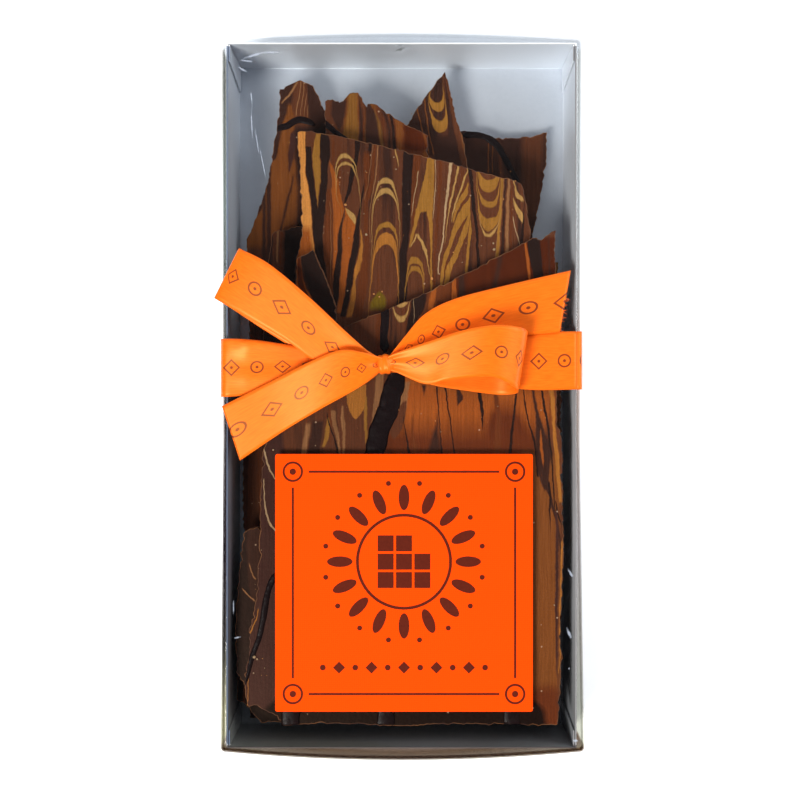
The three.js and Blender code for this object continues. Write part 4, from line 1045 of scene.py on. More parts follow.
shard(
    "bark_low_centre", seed=8, layer=2, ground=MOSTLY_DARK,
    corners=[
        (-47.7, -71.8), (-29.8, -63), (6.6, -65.9), (7.8, -93.8), (-21, -95.9), (-41, -95.9),
        (-45.9, -90.6), (-48.4, -89.4),
    ],
    streaks=[
        # painted shade: the low end is painted dark, with near black and darkened amber
        ("shade", 1.5, (-83.5, -48.6, 5.4), (-99.7, -50.4, 8.4)),
        ("rust", 0.4, (-84.7, -46.2, -45.5), (-89.4, -46.4, -45.5), (-93.8, -46.5, -45.9)),
        ("tan", 0.3, (-85.9, -44.8, -44.4), (-90, -44.8, -44.2), (-93.5, -44.9, -44.5)),
    ],
)

# ---- Rear left shard ----
# The tall shard at the rear left, with dusty pale lines at its tip and one raised line across.

shard(
    "bark_rear_left", seed=9, layer=1, ground=MOSTLY_MILK,
    corners=[
        (-36.2, 91.3), (-30.2, 94.2), (-26.4, 92.5), (-22.5, 84.4), (-4.6, 58.2), (-4, -57.9),
        (-42.1, -57.9), (-47.2, -38.6), (-47.2, -1.3), (-45.1, 19.5), (-46.6, 39.8), (-46, 46.3),
        (-41.5, 58.2), (-39.2, 67.1), (-37.1, 79.1),
    ],
    drizzle=[
        [1.9, (-37.1, 79.5), (-35.9, 79.8), (-33.9, 80.4), (-32, 81.7), (-30.1, 82.2), (-27.8, 81.7),
         (-25.8, 80.6)],
    ],
    streaks=[
        ("umber", 1, (95.4, -37.4, -21.3), (88, -36.8, -21.3), (81.4, -37.4, -21.3), (76.1, -38.6, -21.3)),
        ("milk", 0.8, (94.6, -32, -27.8), (88, -32.6, -27.2), (80.6, -34.7, -26.7)),
        ("toffee", 0.8, (87.1, -33.8, -32), (84.4, -34.1, -31.4), (81.4, -35.3, -31.1),
         (76.1, -36.5, -32.6), (70.1, -39.2, -33.2), (58.2, -42.1, -33.2), (44.8, -48.1, -35.6)),
        ("toffee", 1.5, (73.1, -35.6, -33.5), (67.2, -37.4, -30.2), (58.2, -39.2, -30.2),
         (44.8, -42.7, -32.6)),
        ("umber", 0.5, (77.9, -39.2, -36), (74.3, -38.9, -36.2), (71, -39.8, -37.1), (70.1, -40.1, -38.3)),
        ("umber", 0.6, (70.1, -41.5, -39), (66.6, -41.5, -39.2), (63.6, -41.5, -39.8)),
        ("umber", 0.5, (60, -43.3, -40.8), (57, -43.3, -40.9), (54.6, -43.6, -42.1)),
        ("maroon", 0.5, (79.1, -32.9, -30.2), (74.6, -33.5, -31.1), (70.7, -33.8, -32),
         (67.2, -33.7, -32.9)),
        ("umber", 0.6, (66.6, -32.4, -31.4), (58.2, -34.4, -33.1), (49.3, -36.5, -35.3),
         (44.8, -37.7, -36.2)),
        ("drizzle", 1.2, (79.7, -32, -21.3), (73.1, -31.7, -21.3), (58.2, -30.8, -21.3),
         (44.8, -32.3, -21.3)),
        ("tan", 0.25, (94, -31.1, -30.3), (90.4, -33.3, -32.3), (88.9, -34.5, -33.6), (87.4, -35.8, -35)),
        ("tan", 0.15, (92.8, -29.8, -29.4), (88.3, -30.5, -30.1), (83.5, -31.3, -30.9)),
        ("tan", 0.12, (91.6, -28.9, -28.6), (87.1, -29.4, -29.1), (82.9, -29.9, -29.7)),
        ("tan", 0.12, (91, -27.9, -27.7), (86.8, -28.5, -28.2), (82.6, -28.9, -28.7)),
        ("tan", 0.12, (87.4, -27.5, -27.2), (82.3, -27.9, -27.7)),
    ],
)

# ---- Pointed shard ----
# The pointed shard, with two cups of ochre one above the other.

shard(
    "bark_pointed", seed=10, layer=1, ground=MOSTLY_DARK,
    corners=[
        (13, 96.6), (15.9, 85), (18, 77.6), (20.4, 65.7), (30.8, 28.4), (32.9, -49), (0.1, -49),
        (-1.6, 28.4), (-0.4, 79.1), (1.6, 80.5), (7.3, 89.5),
    ],
    streaks=[
        ("umber", 0.8, (91, 0.7, 9.7), (82, 0.7, 9.7), (71.6, 0.7, 13)),
        ("milk", 0.8, (98.1, 11.5, 16.8), (89.2, 13.8, 16.8), (82, 15, 19.2), (68.6, 16.8, 22.2)),
        ("umber", 0.25, (89.8, 7.1, 7.9), (85.9, 8, 8.9), (82, 8.7, 9.7), (77, 9.9, 10.9),
         (71.3, 11.2, 12.4)),
        ("umber", 0.25, (96.3, 12.9, 13.4), (91.9, 13.3, 14), (88, 13.5, 14.6), (83.5, 14.1, 15.3),
         (79.1, 14.9, 16.1), (71.3, 16.5, 17.7)),
        ("toffee", 0.2, (88.9, 6.8, 7.3), (80.6, 8.1, 8.6), (72.2, 9.7, 10.2)),
        ("toffee", 0.2, (85.9, 4.7, 5.2), (79.1, 6.5, 7), (72.5, 8.3, 8.7)),
        ("toffee", 0.3, (82, 17.2, 17.7), (76.1, 18.1, 18.7), (68.3, 19.6, 20.3)),
        ("umber", 0.6, (77.9, 10.3, 16.5), (74.3, 10.9, 17.4), (68.3, 11.5, 18.6)),
    ],
    combs=[
        (-1, 2.2, [(94, 10.6, 12.7), (89.2, 8, 13.5), (84.4, 8.5, 14.3), (78.5, 9.2, 15.3)],
         [("ochre", 87.7, 84.9), ("ochre", 82.6, 79.1)]),
    ],
)

# ---- Rear right shard ----
# The dark shard at the rear right, with one round drizzled arc.

shard(
    "bark_rear_right", seed=11, layer=0, ground=MOSTLY_DARK,
    corners=[
        (11.6, 79.3), (19.2, 79.9), (23.7, 79.6), (26.7, 78.1), (35.8, 77.8), (38.8, 78.1), (43.9, 79.6),
        (43.9, 72.6), (43, 66.6), (40.9, 54.5), (38.2, 40.9), (35.8, -31.6), (2.6, -31.6), (1.1, 28.8),
    ],
    drizzle=[
        [2, (18.6, 78.7), (22.3, 78.9), (26, 77.9), (29, 75.5), (31.4, 71.3), (34.1, 66.5), (35.5, 63.3)],
    ],
    streaks=[
        ("umber", 1.5, (80.2, 11.6, 29.7), (59, 11.6, 29.7)),
        ("umber", 1.5, (81.7, 27.3, 44.8), (71.1, 30.4, 44.8), (54.5, 33.4, 43.3)),
        ("milk", 2, (80.2, 35.8, 44.2), (54.5, 35.8, 43.3)),
        ("toffee", 0.3, (78.4, 26.2, 26.8), (67.5, 26.2, 26.8)),
        ("toffee", 0.3, (77.2, 27.5, 28.1), (67.5, 27.5, 28)),
    ],
)

# ---- Lowest shard ----
# The deepest shard, of which only bits show at the lower left.

shard(
    "bark_lowest", seed=12, layer=0, ground=MOSTLY_DARK,
    corners=[
        (-47, -49.7), (5.6, -43.6), (45.4, -37.6), (46.7, -61.8), (45.4, -98), (-0.5, -98.6),
        (-45.7, -97.4),
    ],
    streaks=[
        # painted shade: near black laid over all that shows of this deepest shard
        ("shade", 1.5, (-61.8, -51.8, 50.9), (-102.5, -51.8, 50.9)),
    ],
)

# ---- Crumbs ----
# Chips of caramel and cream that broke off the shards and lie on them, and finer dust of both:
# small faceted pebbles in one mesh, the larger ones placed, the dust scattered by a seed.

# Each flake's place, the layer it lies on, its size, and whether it is caramel or cream. Then the
# patches of dust: the sides and ends of each, its layer, and how many grains it has.
FLAKES = [
    (8.8, 33.9, 3, 0.9, 1), (-10.2, 46.6, 3, 0.6, 0), (-16.2, 55.2, 3, 0.8, 1), (-8, 29.4, 3, 0.5, 1),
    (-6.4, 28.6, 3, 0.45, 1), (-5.6, 30.1, 3, 0.5, 1), (26.8, 42.3, 3, 0.8, 0), (26.6, 44.1, 3, 0.5, 0),
    (-2.2, 69, 3, 0.4, 0), (-1.6, 65.5, 3, 0.35, 0), (-36.6, -15.5, 4, 0.5, 0), (-42, -74.6, 4, 0.8, 0),
    (-41.2, -75.2, 4, 0.5, 0), (-22.5, -97.4, -1, 0.9, 0), (43.6, -59.8, 4, 0.4, 0), (28.6, 47.6, 3, 0.4, 1),
]
DUST = [
    (-28, 33, 40, 66, 3, 46), (-38, 42, -14, 12, 4, 34), (-40, 4, 62, 84, 1, 12),
    (-42, -38, -86, -40, 4, 10),
]


def crumb(tone):
    """Snapped chocolate, matt and a little mottled."""
    material, tree = new_finish("crumb_" + tone)
    mottle = add(tree, "TexNoise", {}, {"Vector": millimetres(tree), "Scale": 2.2, "Detail": 3.0})
    shade = add(tree, "MapRange", {}, {"Value": mottle.outputs["Fac"], 3: 0.7, 4: 1.25})
    toned = add(tree, "HueSaturation", {}, {"Color": linear(CHOCOLATE[tone]), "Value": shade.outputs[0]})
    shader = add(tree, "BsdfPrincipled", {}, {"Base Color": toned.outputs[0], "Roughness": 0.7})
    add(tree, "OutputMaterial", {}, {"Surface": shader.outputs[0]})
    return material


def crumbs():
    bm = bmesh.new()
    rng = random.Random(5)
    scattered = [
        (rng.uniform(left, right), rng.uniform(low, high), layer, rng.uniform(0.12, 0.3), rng.random() < 0.6)
        for left, right, low, high, layer, count in DUST
        for _ in range(count)
    ]
    for x, y, layer, size, tone in FLAKES + scattered:
        rest = max(LOWEST_LAYER + layer * LAYER_PITCH + BARK_THICK, TRAY_BOTTOM + CARD)
        turn = Matrix.Rotation(rng.uniform(0, 6), 4, "Z")
        shape = Matrix.Diagonal((size * rng.uniform(0.7, 1.3) * MM, size * MM, size * 0.6 * MM, 1))
        matrix = Matrix.Translation(spot(x, y, rest + size * 0.3)) @ turn @ shape
        made = bmesh.ops.create_icosphere(bm, subdivisions=1, radius=0.6, matrix=matrix)["verts"]
        for vert in made:
            vert.co += noise.noise_vector(vert.co / MM * 3) * 0.12 * size * MM
        for face in {f for v in made for f in v.link_faces}:
            face.material_index = int(tone)
    return bm


flakes = piece("crumbs", crumbs(), [crumb("pale"), crumb("honey")])
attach(flakes, "root")

# ---- Lid ----
# One blank of clear PET film, folded down over the tray. Its folds are soft, its two end walls
# bow outwards, and the film turns white where it was creased. Its edges carry painted shade and light.

FILM = 0.3
LID_LOW, LID_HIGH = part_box("lid")
LID_BOTTOM = LID_LOW.z / MM
LID_HALF_Y = 101.6
LID_CORNER = 1.2
FOLD_DROP = 2.2
FOLD_INSET = (1.7, 2.8)
BULGE = {1: 3.0, -1: 4.0}
WALL_BULGES = [(LID_BOTTOM, 0.55), (5, 0.68), (9, 0.8), (13, 0.93), (18, 1.0), (22, 0.95), (26, 0.85)]
FOLD_BULGE = 0.6
FLARE = {1: 1.3, -1: 0.7}
FLARE_FAR = 0.4
LID_HALF_X = (LID_HIGH.x - LID_LOW.x) / 2 / MM - (FLARE[1] + FLARE[-1]) / 2
FLARE_FROM = -12
FOLD_STEPS = 10
CORNER_STEPS = 6
END_STEPS = 24
FILM_CELL = 6
FILM_WAVE = 0.12


def lid_ring(z, fold, bulge):
    """One level of the film's outline, round from the far right corner."""
    half_x = LID_HALF_X - FOLD_INSET[0] * fold
    half_y = LID_HALF_Y - FOLD_INSET[1] * fold
    ring = []
    for quarter, (sx, sy) in enumerate(((1, 1), (-1, 1), (-1, -1), (1, -1))):
        for i in range(CORNER_STEPS + 1):
            angle = (quarter + i / CORNER_STEPS) * math.pi / 2
            x = sx * (half_x - LID_CORNER) + LID_CORNER * math.cos(angle)
            x += sx * (FLARE[sx] if sy < 0 else FLARE_FAR)
            ring.append((x, sy * (half_y - LID_CORNER) + LID_CORNER * math.sin(angle), z))
        if quarter in (0, 2):
            for i in range(1, END_STEPS):
                share = sy * (1 - 2 * i / END_STEPS)
                swell = BULGE[sy] * bulge * (1 - share**2)
                x = share * (half_x - LID_CORNER + (FLARE[1 if share > 0 else -1] if sy < 0 else FLARE_FAR))
                ring.append((x, sy * (half_y + swell), z))
        else:
            ring.append((sx * half_x, FLARE_FROM, z))
    return ring


def folded_film():
    bm = bmesh.new()
    levels = [lid_ring(z, 0, bulge) for z, bulge in WALL_BULGES]
    for i in range(FOLD_STEPS + 1):
        angle = i / FOLD_STEPS * math.pi / 2
        z = LID_TOP - FOLD_DROP + FOLD_DROP * math.sin(angle)
        levels.append(lid_ring(z, 1 - math.cos(angle), FOLD_BULGE * math.cos(angle)))
    ring = [bm.verts.new(spot(*p)) for p in levels[0]]
    edges = [bm.edges.new((a, b)) for a, b in zip(ring, ring[1:] + ring[:1])]
    for level in levels[1:]:
        raised = bmesh.ops.extrude_edge_only(bm, edges=edges)["geom"]
        edges = [e for e in raised if isinstance(e, bmesh.types.BMEdge)]
        lifted = {v for e in edges for v in e.verts}
        below = {}
        for vert in lifted:
            for edge in vert.link_edges:
                other = edge.other_vert(vert)
                if other not in lifted:
                    below[other] = vert
        ring = [below[v] for v in ring]
        for vert, place in zip(ring, level):
            vert.co = spot(*place)
    bm.faces.new(ring)
    bmesh.ops.recalc_face_normals(bm, faces=bm.faces)
    if max(bm.faces, key=lambda f: f.calc_area()).normal.z < 0:
        bmesh.ops.reverse_faces(bm, faces=bm.faces)
    cut_in_cells(bm, lambda face: face.normal.z > 0.999, (LID_HALF_X, LID_HALF_Y), FILM_CELL)
    for vert in bm.verts:
        inner_x = 1 - abs(vert.co.x - CENTRE.x) / MM / LID_HALF_X
        inner_y = 1 - abs(vert.co.y - CENTRE.y) / MM / LID_HALF_Y
        if vert.co.z / MM > LID_TOP - 0.01:
            sag = FILM_WAVE * noise.noise(vert.co / MM * 0.03) - 0.1
            vert.co.z += sag * MM * min(1, 8 * max(0, min(inner_x, inner_y)))
    return bm


# Painted shade and light on the film's edges, seen on edge: down each side by the place along it, at each
# end by the height.
SIDE_PAINTED_SHADE_AND_LIGHT = {
    -1: [
        (-92, "#a2a08a"), (-72, "#5e5c5a"), (-44, "#565056"), (-1, "#7c7778"), (55, "#a0a7a6"),
        (95, "#989a98"),
    ],
    1: [
        (-92, "#b8b9b0"), (-72, "#b7b4ae"), (-44, "#bcb8b6"), (-7, "#c6bdb6"), (55, "#cacccb"),
        (95, "#d2d4d3"),
    ],
}
END_PAINTED_SHADE_AND_LIGHT = {
    -1: [
        (2, "#503d36"), (9, "#584640"), (16, "#69594b"), (23, "#7b736a"), (28, "#807864"),
        (29.6, "#726354"), (30.6, "#5d4740"),
    ],
    1: [(2, "#b8c0c8"), (14, "#c8ced4"), (24, "#d6dade"), (30, "#e6e8ea")],
}
CROSSINGS = 1.6
# The white marks, creased scuffs and painted glints: each one's place, how far it reaches across and along,
# and its turn.
SCUFFS_AND_PAINTED_GLINTS = [
    (-43.9, 95, 2.2, 0.3, -0.1), (-41.9, 96.6, 3.2, 0.4, 0.3), (-37.5, 97.4, 3, 0.25, 0.05),
    (-45.2, 92.6, 1.6, 0.35, -0.5), (-42.6, 84.6, 0.22, 2.2, 0.1), (-42.5, 77, 0.2, 4.2, 0.05),
    (-41, 72, 0.15, 4.2, 0.15), (-39.4, 66, 0.15, 4.8, 0.2), (48, -50.5, 0.35, 1.5, 0.5),
    (47.6, -67.6, 0.45, 1.7, 0.4), (-47.7, -60, 0.2, 2, 0), (-46.6, -68.7, 0.9, 0.25, 0.2),
    (49.4, -98, 0.7, 0.4, 0), (47.6, -77.5, 0.2, 0.3, 0),
]


def clear_film():
    """PET: light passes straight through and the face mirrors faintly. Seen on edge it is painted with
    shade and light: brown as a painted reflection of the bark, pale at the far end, dark at the near end.
    Scuffs and painted glints are white."""
    material, tree = new_finish("clear_pet_film")
    plain = millimetres(tree)
    split = add(tree, "SeparateXYZ", {}, {0: plain})
    x, y, z = split.outputs

    def cast(way, stations):
        low, high = stations[0][0], stations[-1][0]
        share = add(tree, "MapRange", {}, {"Value": way, 1: low, 2: high})
        tint = add(tree, "ValToRGB", {}, {"Fac": share.outputs[0]})
        ramp = tint.color_ramp
        ramp.elements[0].color = linear(stations[0][1])
        ramp.elements[1].color = linear(stations[-1][1])
        for place, colour in stations[1:-1]:
            ramp.elements.new((place - low) / (high - low)).color = linear(colour)
        return tint.outputs["Color"]

    def chosen(test, without, given):
        return add(tree, "Mix", {"data_type": "RGBA"}, {0: test, 6: without, 7: given}).outputs[2]

    right = add(tree, "Math", {"operation": "GREATER_THAN"}, {0: x, 1: 0.0})
    far = add(tree, "MapRange", {}, {"Value": y, 1: 98.0, 2: 99.5})
    near = add(tree, "MapRange", {}, {"Value": y, 1: -99.0, 2: -100.0})
    # painted shade and light: the film's edges take these colours where seen on edge
    tint = chosen(right.outputs[0], cast(y, SIDE_PAINTED_SHADE_AND_LIGHT[-1]), cast(y, SIDE_PAINTED_SHADE_AND_LIGHT[1]))
    tint = chosen(far.outputs[0], tint, cast(z, END_PAINTED_SHADE_AND_LIGHT[1]))
    tint = chosen(near.outputs[0], tint, cast(z, END_PAINTED_SHADE_AND_LIGHT[-1]))

    streak = add(tree, "TexNoise", {}, {"Vector": plain, "Scale": 0.12, "Detail": 3.0})
    wave = add(tree, "Bump", {}, {"Height": streak.outputs["Fac"], "Strength": 0.15, "Distance": 0.0015})
    clear = add(tree, "BsdfTransparent", {}, {"Color": linear("#fefefe")})
    gloss = add(tree, "BsdfGlossy", {}, {
        "Color": linear("#ffffff"), "Roughness": 0.08, "Normal": wave.outputs[0],
    })
    mirror = add(tree, "Fresnel", {}, {"IOR": 1.22, "Normal": wave.outputs[0]})
    weak = add(tree, "Math", {"operation": "MINIMUM"}, {0: mirror.outputs[0], 1: 0.2})
    film = add(tree, "MixShader", {}, {0: weak.outputs[0], 1: clear.outputs[0], 2: gloss.outputs[0]})
    on_edge = add(tree, "Fresnel", {}, {"IOR": 1.45})
    solid = add(tree, "MapRange", {}, {"Value": on_edge.outputs[0], 1: 0.05, 2: 0.22, 3: 0.0, 4: 1.0})
    layer = add(tree, "Gamma", {}, {"Color": tint, "Gamma": 1 / CROSSINGS})
    body = add(tree, "BsdfTransparent", {}, {"Color": layer.outputs[0]})
    edged = add(tree, "MixShader", {}, {0: solid.outputs[0], 1: film.outputs[0], 2: body.outputs[0]})

    # painted highlight: some of these white marks are painted glints, the rest creased scuffs
    scuff_and_glint_mask = None
    frayed = add(tree, "TexNoise", {}, {"Vector": plain, "Scale": 1.6, "Detail": 3.0})
    for at_x, at_y, reach_x, reach_y, turn in SCUFFS_AND_PAINTED_GLINTS:
        spot_at = add(tree, "Mapping", {"vector_type": "TEXTURE"}, {
            "Vector": plain, "Location": (at_x, at_y, 0), "Rotation": (0, 0, turn),
            "Scale": (reach_x, reach_y, 1e6),
        })
        away = add(tree, "VectorMath", {"operation": "LENGTH"}, {0: spot_at.outputs[0]})
        ragged = add(tree, "Math", {"operation": "MULTIPLY_ADD"}, {
            0: frayed.outputs["Fac"], 1: 1.6, 2: away.outputs["Value"],
        })
        one = add(tree, "MapRange", {}, {
            "Value": ragged.outputs[0], 1: 1.85, 2: 1.2, 3: 0.0, 4: 0.24,
        }).outputs[0]
        scuff_and_glint_mask = add(tree, "Math", {"operation": "MAXIMUM"}, {0: scuff_and_glint_mask, 1: one}).outputs[0] if scuff_and_glint_mask else one
    white = add(tree, "BsdfDiffuse", {}, {"Color": linear("#e2ecff")})
    film_with_scuffs_and_glints = add(tree, "MixShader", {}, {0: scuff_and_glint_mask, 1: edged.outputs[0], 2: white.outputs[0]})
    add(tree, "OutputMaterial", {}, {"Surface": film_with_scuffs_and_glints.outputs[0]})
    return material


lid = piece("film_lid", folded_film(), [clear_film()])
wall = lid.modifiers.new("film_thickness", "SOLIDIFY")
wall.thickness = FILM * MM
wall.offset = -1
for face in lid.data.polygons:
    face.use_smooth = True
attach(lid, "root")
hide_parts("lid")

# ---- Label ----
# A square of stiff orange paper with a linen finish, stuck flat on the lid. It is printed in
# dark brown with plain ornaments: a frame, a ring of petals round a block of squares, and dots.

LABEL_LOW, LABEL_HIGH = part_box("label")
LABEL_CENTRE = (0.7, -53.1)
LABEL_HALF = (LABEL_HIGH.x - LABEL_LOW.x) / 2 / MM
LABEL_BOTTOM, LABEL_TOP = LABEL_LOW.z / MM, LABEL_HIGH.z / MM
LABEL_CORNER = 0.6
LINEN_THREAD_MM = 0.55
INK_LIFT = 0.02
INK_THICK = 0.02


def linen_paper():
    material, tree = new_finish("orange_linen_paper")
    place = millimetres(tree)
    thread = 2 * math.pi / 20 / LINEN_THREAD_MM
    across, along = [
        add(tree, "TexWave", {"bands_direction": way, "wave_profile": "SIN"}, {
            "Vector": place, "Scale": thread, "Distortion": 1.5, "Detail Scale": 0.4,
        })
        for way in ("X", "Y")
    ]
    woven = add(tree, "Math", {"operation": "ADD"}, {0: across.outputs["Fac"], 1: along.outputs["Fac"]})
    tone = add(tree, "ValToRGB", {}, {"Fac": add(tree, "Math", {"operation": "MULTIPLY"}, {
        0: woven.outputs[0], 1: 0.5,
    }).outputs[0]})
    tone.color_ramp.elements[0].color = linear("#f94202")
    tone.color_ramp.elements[1].color = linear("#fe4903")
    bump = add(tree, "Bump", {}, {"Height": woven.outputs[0], "Strength": 0.25, "Distance": 0.0001})
    shader = add(tree, "BsdfPrincipled", {}, {
        "Base Color": tone.outputs["Color"], "Roughness": 0.85, "Specular IOR Level": 0.04,
        "Normal": bump.outputs[0],
    })
    add(tree, "OutputMaterial", {}, {"Surface": shader.outputs[0]})
    return material


def printed_ink(name, dark, light):
    """Screen-printed ink, a little uneven where the paper's threads show through."""
    material, tree = new_finish(name)
    place = millimetres(tree)
    patch = add(tree, "TexNoise", {}, {"Vector": place, "Scale": 1.6, "Detail": 3.0})
    tone = add(tree, "ValToRGB", {}, {"Fac": patch.outputs["Fac"]})
    tone.color_ramp.elements[0].color = linear(dark)
    tone.color_ramp.elements[1].color = linear(light)
    shader = add(tree, "BsdfPrincipled", {}, {
        "Base Color": tone.outputs["Color"], "Roughness": 0.7, "Specular IOR Level": 0.1,
    })
    add(tree, "OutputMaterial", {}, {"Surface": shader.outputs[0]})
    return material


def label_spot(x, y, z=0):
    return spot(LABEL_CENTRE[0] + x, LABEL_CENTRE[1] + y, z)


def paper_square():
    bm = bmesh.new()
    matrix = Matrix.Translation(label_spot(0, 0, LABEL_BOTTOM))
    bmesh.ops.create_grid(bm, x_segments=1, y_segments=1, size=LABEL_HALF * MM, matrix=matrix)
    bmesh.ops.bevel(
        bm, geom=list(bm.verts), offset=LABEL_CORNER * MM, affect="VERTICES", segments=4, profile=0.5,
        material=-1,
    )
    raised = bmesh.ops.extrude_face_region(bm, geom=list(bm.faces), use_keep_orig=True)
    verts = [v for v in raised["geom"] if isinstance(v, bmesh.types.BMVert)]
    bmesh.ops.translate(bm, vec=(0, 0, (LABEL_TOP - LABEL_BOTTOM) * MM), verts=verts)
    bmesh.ops.recalc_face_normals(bm, faces=bm.faces)
    return bm


def inked(bm, shape_faces):
    """Gives a flat printed shape its thin body of ink."""
    raised = bmesh.ops.extrude_face_region(bm, geom=shape_faces, use_keep_orig=True)
    verts = [v for v in raised["geom"] if isinstance(v, bmesh.types.BMVert)]
    bmesh.ops.translate(bm, vec=(0, 0, INK_THICK * MM), verts=verts)


def printed_bar(bm, x, y, width, height, turn=0.0):
    matrix = Matrix.Translation(label_spot(x, y, LABEL_TOP + INK_LIFT)) @ Matrix.Rotation(turn, 4, "Z")
    matrix = matrix @ Matrix.Diagonal((width / 2 * MM, height / 2 * MM, 1, 1))
    verts = bmesh.ops.create_grid(bm, x_segments=1, y_segments=1, size=1, matrix=matrix)["verts"]
    inked(bm, list({f for v in verts for f in v.link_faces}))


def printed_oval(bm, x, y, half_x, half_y, turn=0.0):
    matrix = Matrix.Translation(label_spot(x, y, LABEL_TOP + INK_LIFT)) @ Matrix.Rotation(turn, 4, "Z")
    matrix = matrix @ Matrix.Diagonal((half_x * MM, half_y * MM, 1, 1))
    verts = bmesh.ops.create_circle(bm, cap_ends=True, segments=28, radius=1, matrix=matrix)["verts"]
    inked(bm, list({f for v in verts for f in v.link_faces}))


def printed_ring(bm, x, y, radius, width):
    """A circle drawn as a line."""
    matrix = Matrix.Translation(label_spot(x, y, LABEL_TOP + INK_LIFT))
    rings = []
    for r in (radius - width / 2, radius + width / 2):
        verts = bmesh.ops.create_circle(bm, segments=64, radius=r * MM, matrix=matrix)["verts"]
        rings += list({e for v in verts for e in v.link_edges})
    band = bmesh.ops.bridge_loops(bm, edges=rings)["faces"]
    inked(bm, band)


def brown_print():
    """The ornaments: a frame, the petal ring, the block of squares, and a row of small marks."""
    bm = bmesh.new()
    frame_half = 31.5
    for side in (-1, 1):
        printed_bar(bm, 0, side * frame_half, 2 * frame_half - 9, 0.6)
        printed_bar(bm, side * frame_half, 0, 0.6, 2 * frame_half - 9)
        for end in (-1, 1):
            printed_ring(bm, side * frame_half, end * frame_half, 2.6, 0.6)
            printed_oval(bm, side * frame_half, end * frame_half, 0.9, 0.9)
    centre_y = 6
    petals = 16
    for i in range(petals):
        angle = i / petals * 2 * math.pi
        reach = 18.2
        x, y = reach * math.cos(angle), centre_y + reach * math.sin(angle)
        printed_oval(bm, x, y, 3.6, 1.5, angle)
        dot = 22.6 * Vector((math.cos(angle + math.pi / petals), math.sin(angle + math.pi / petals)))
        printed_oval(bm, dot.x, centre_y + dot.y, 0.7, 0.7)
    printed_ring(bm, 0, centre_y, 13.2, 0.8)
    square = 5.2
    for row in range(3):
        for column in range(3):
            if (row, column) != (2, 2):
                printed_bar(
                    bm, (column - 1) * square, centre_y + (row - 1) * square, square - 0.7, square - 0.7,
                )
    for i in range(-5, 6):
        if i % 2:
            printed_oval(bm, i * 4.6, -24, 0.8, 0.8)
        else:
            printed_bar(bm, i * 4.6, -24, 2.4, 2.4, math.pi / 4)
    bmesh.ops.recalc_face_normals(bm, faces=bm.faces)
    return bm


label = piece("linen_label", paper_square(), [linen_paper()])
print_brown = piece("label_print", brown_print(), [printed_ink("brown_screen_ink", "#4c1204", "#5e1c08")])
for made in (label, print_brown):
    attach(made, "root")
    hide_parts("label")

# ---- Ribbon ----
# Polyester satin, 16.5 mm wide, printed with a row of small plain marks. A band of it runs
# round the box, and the bow on it has two loops, two cut tails and a knot wrapped once.

RIBBON_WIDTH = 16.5
RIBBON_THICK = 0.3
RIBBON_Y = 8.9
RIBBON_SLOPE = 0.021
BAND_RADIUS = 1.45
BOX_HALF_X = 50.8
CLEARANCE = 0.3
GATHERED, GATHER_REACH = 4.4, 46
CREASED_TO = -14
BAND_RIDGES = [(5.8, 3.4, 1.6), (-3.4, 2.6, 0.7)]
KNOT_PLACE = (-4.6, 8.8, LID_TOP + 3.37)
STRIP_LONG, STRIP_WIDE = 110, 14
MARK_PITCH = 0.44
WEFT_MM = 0.35


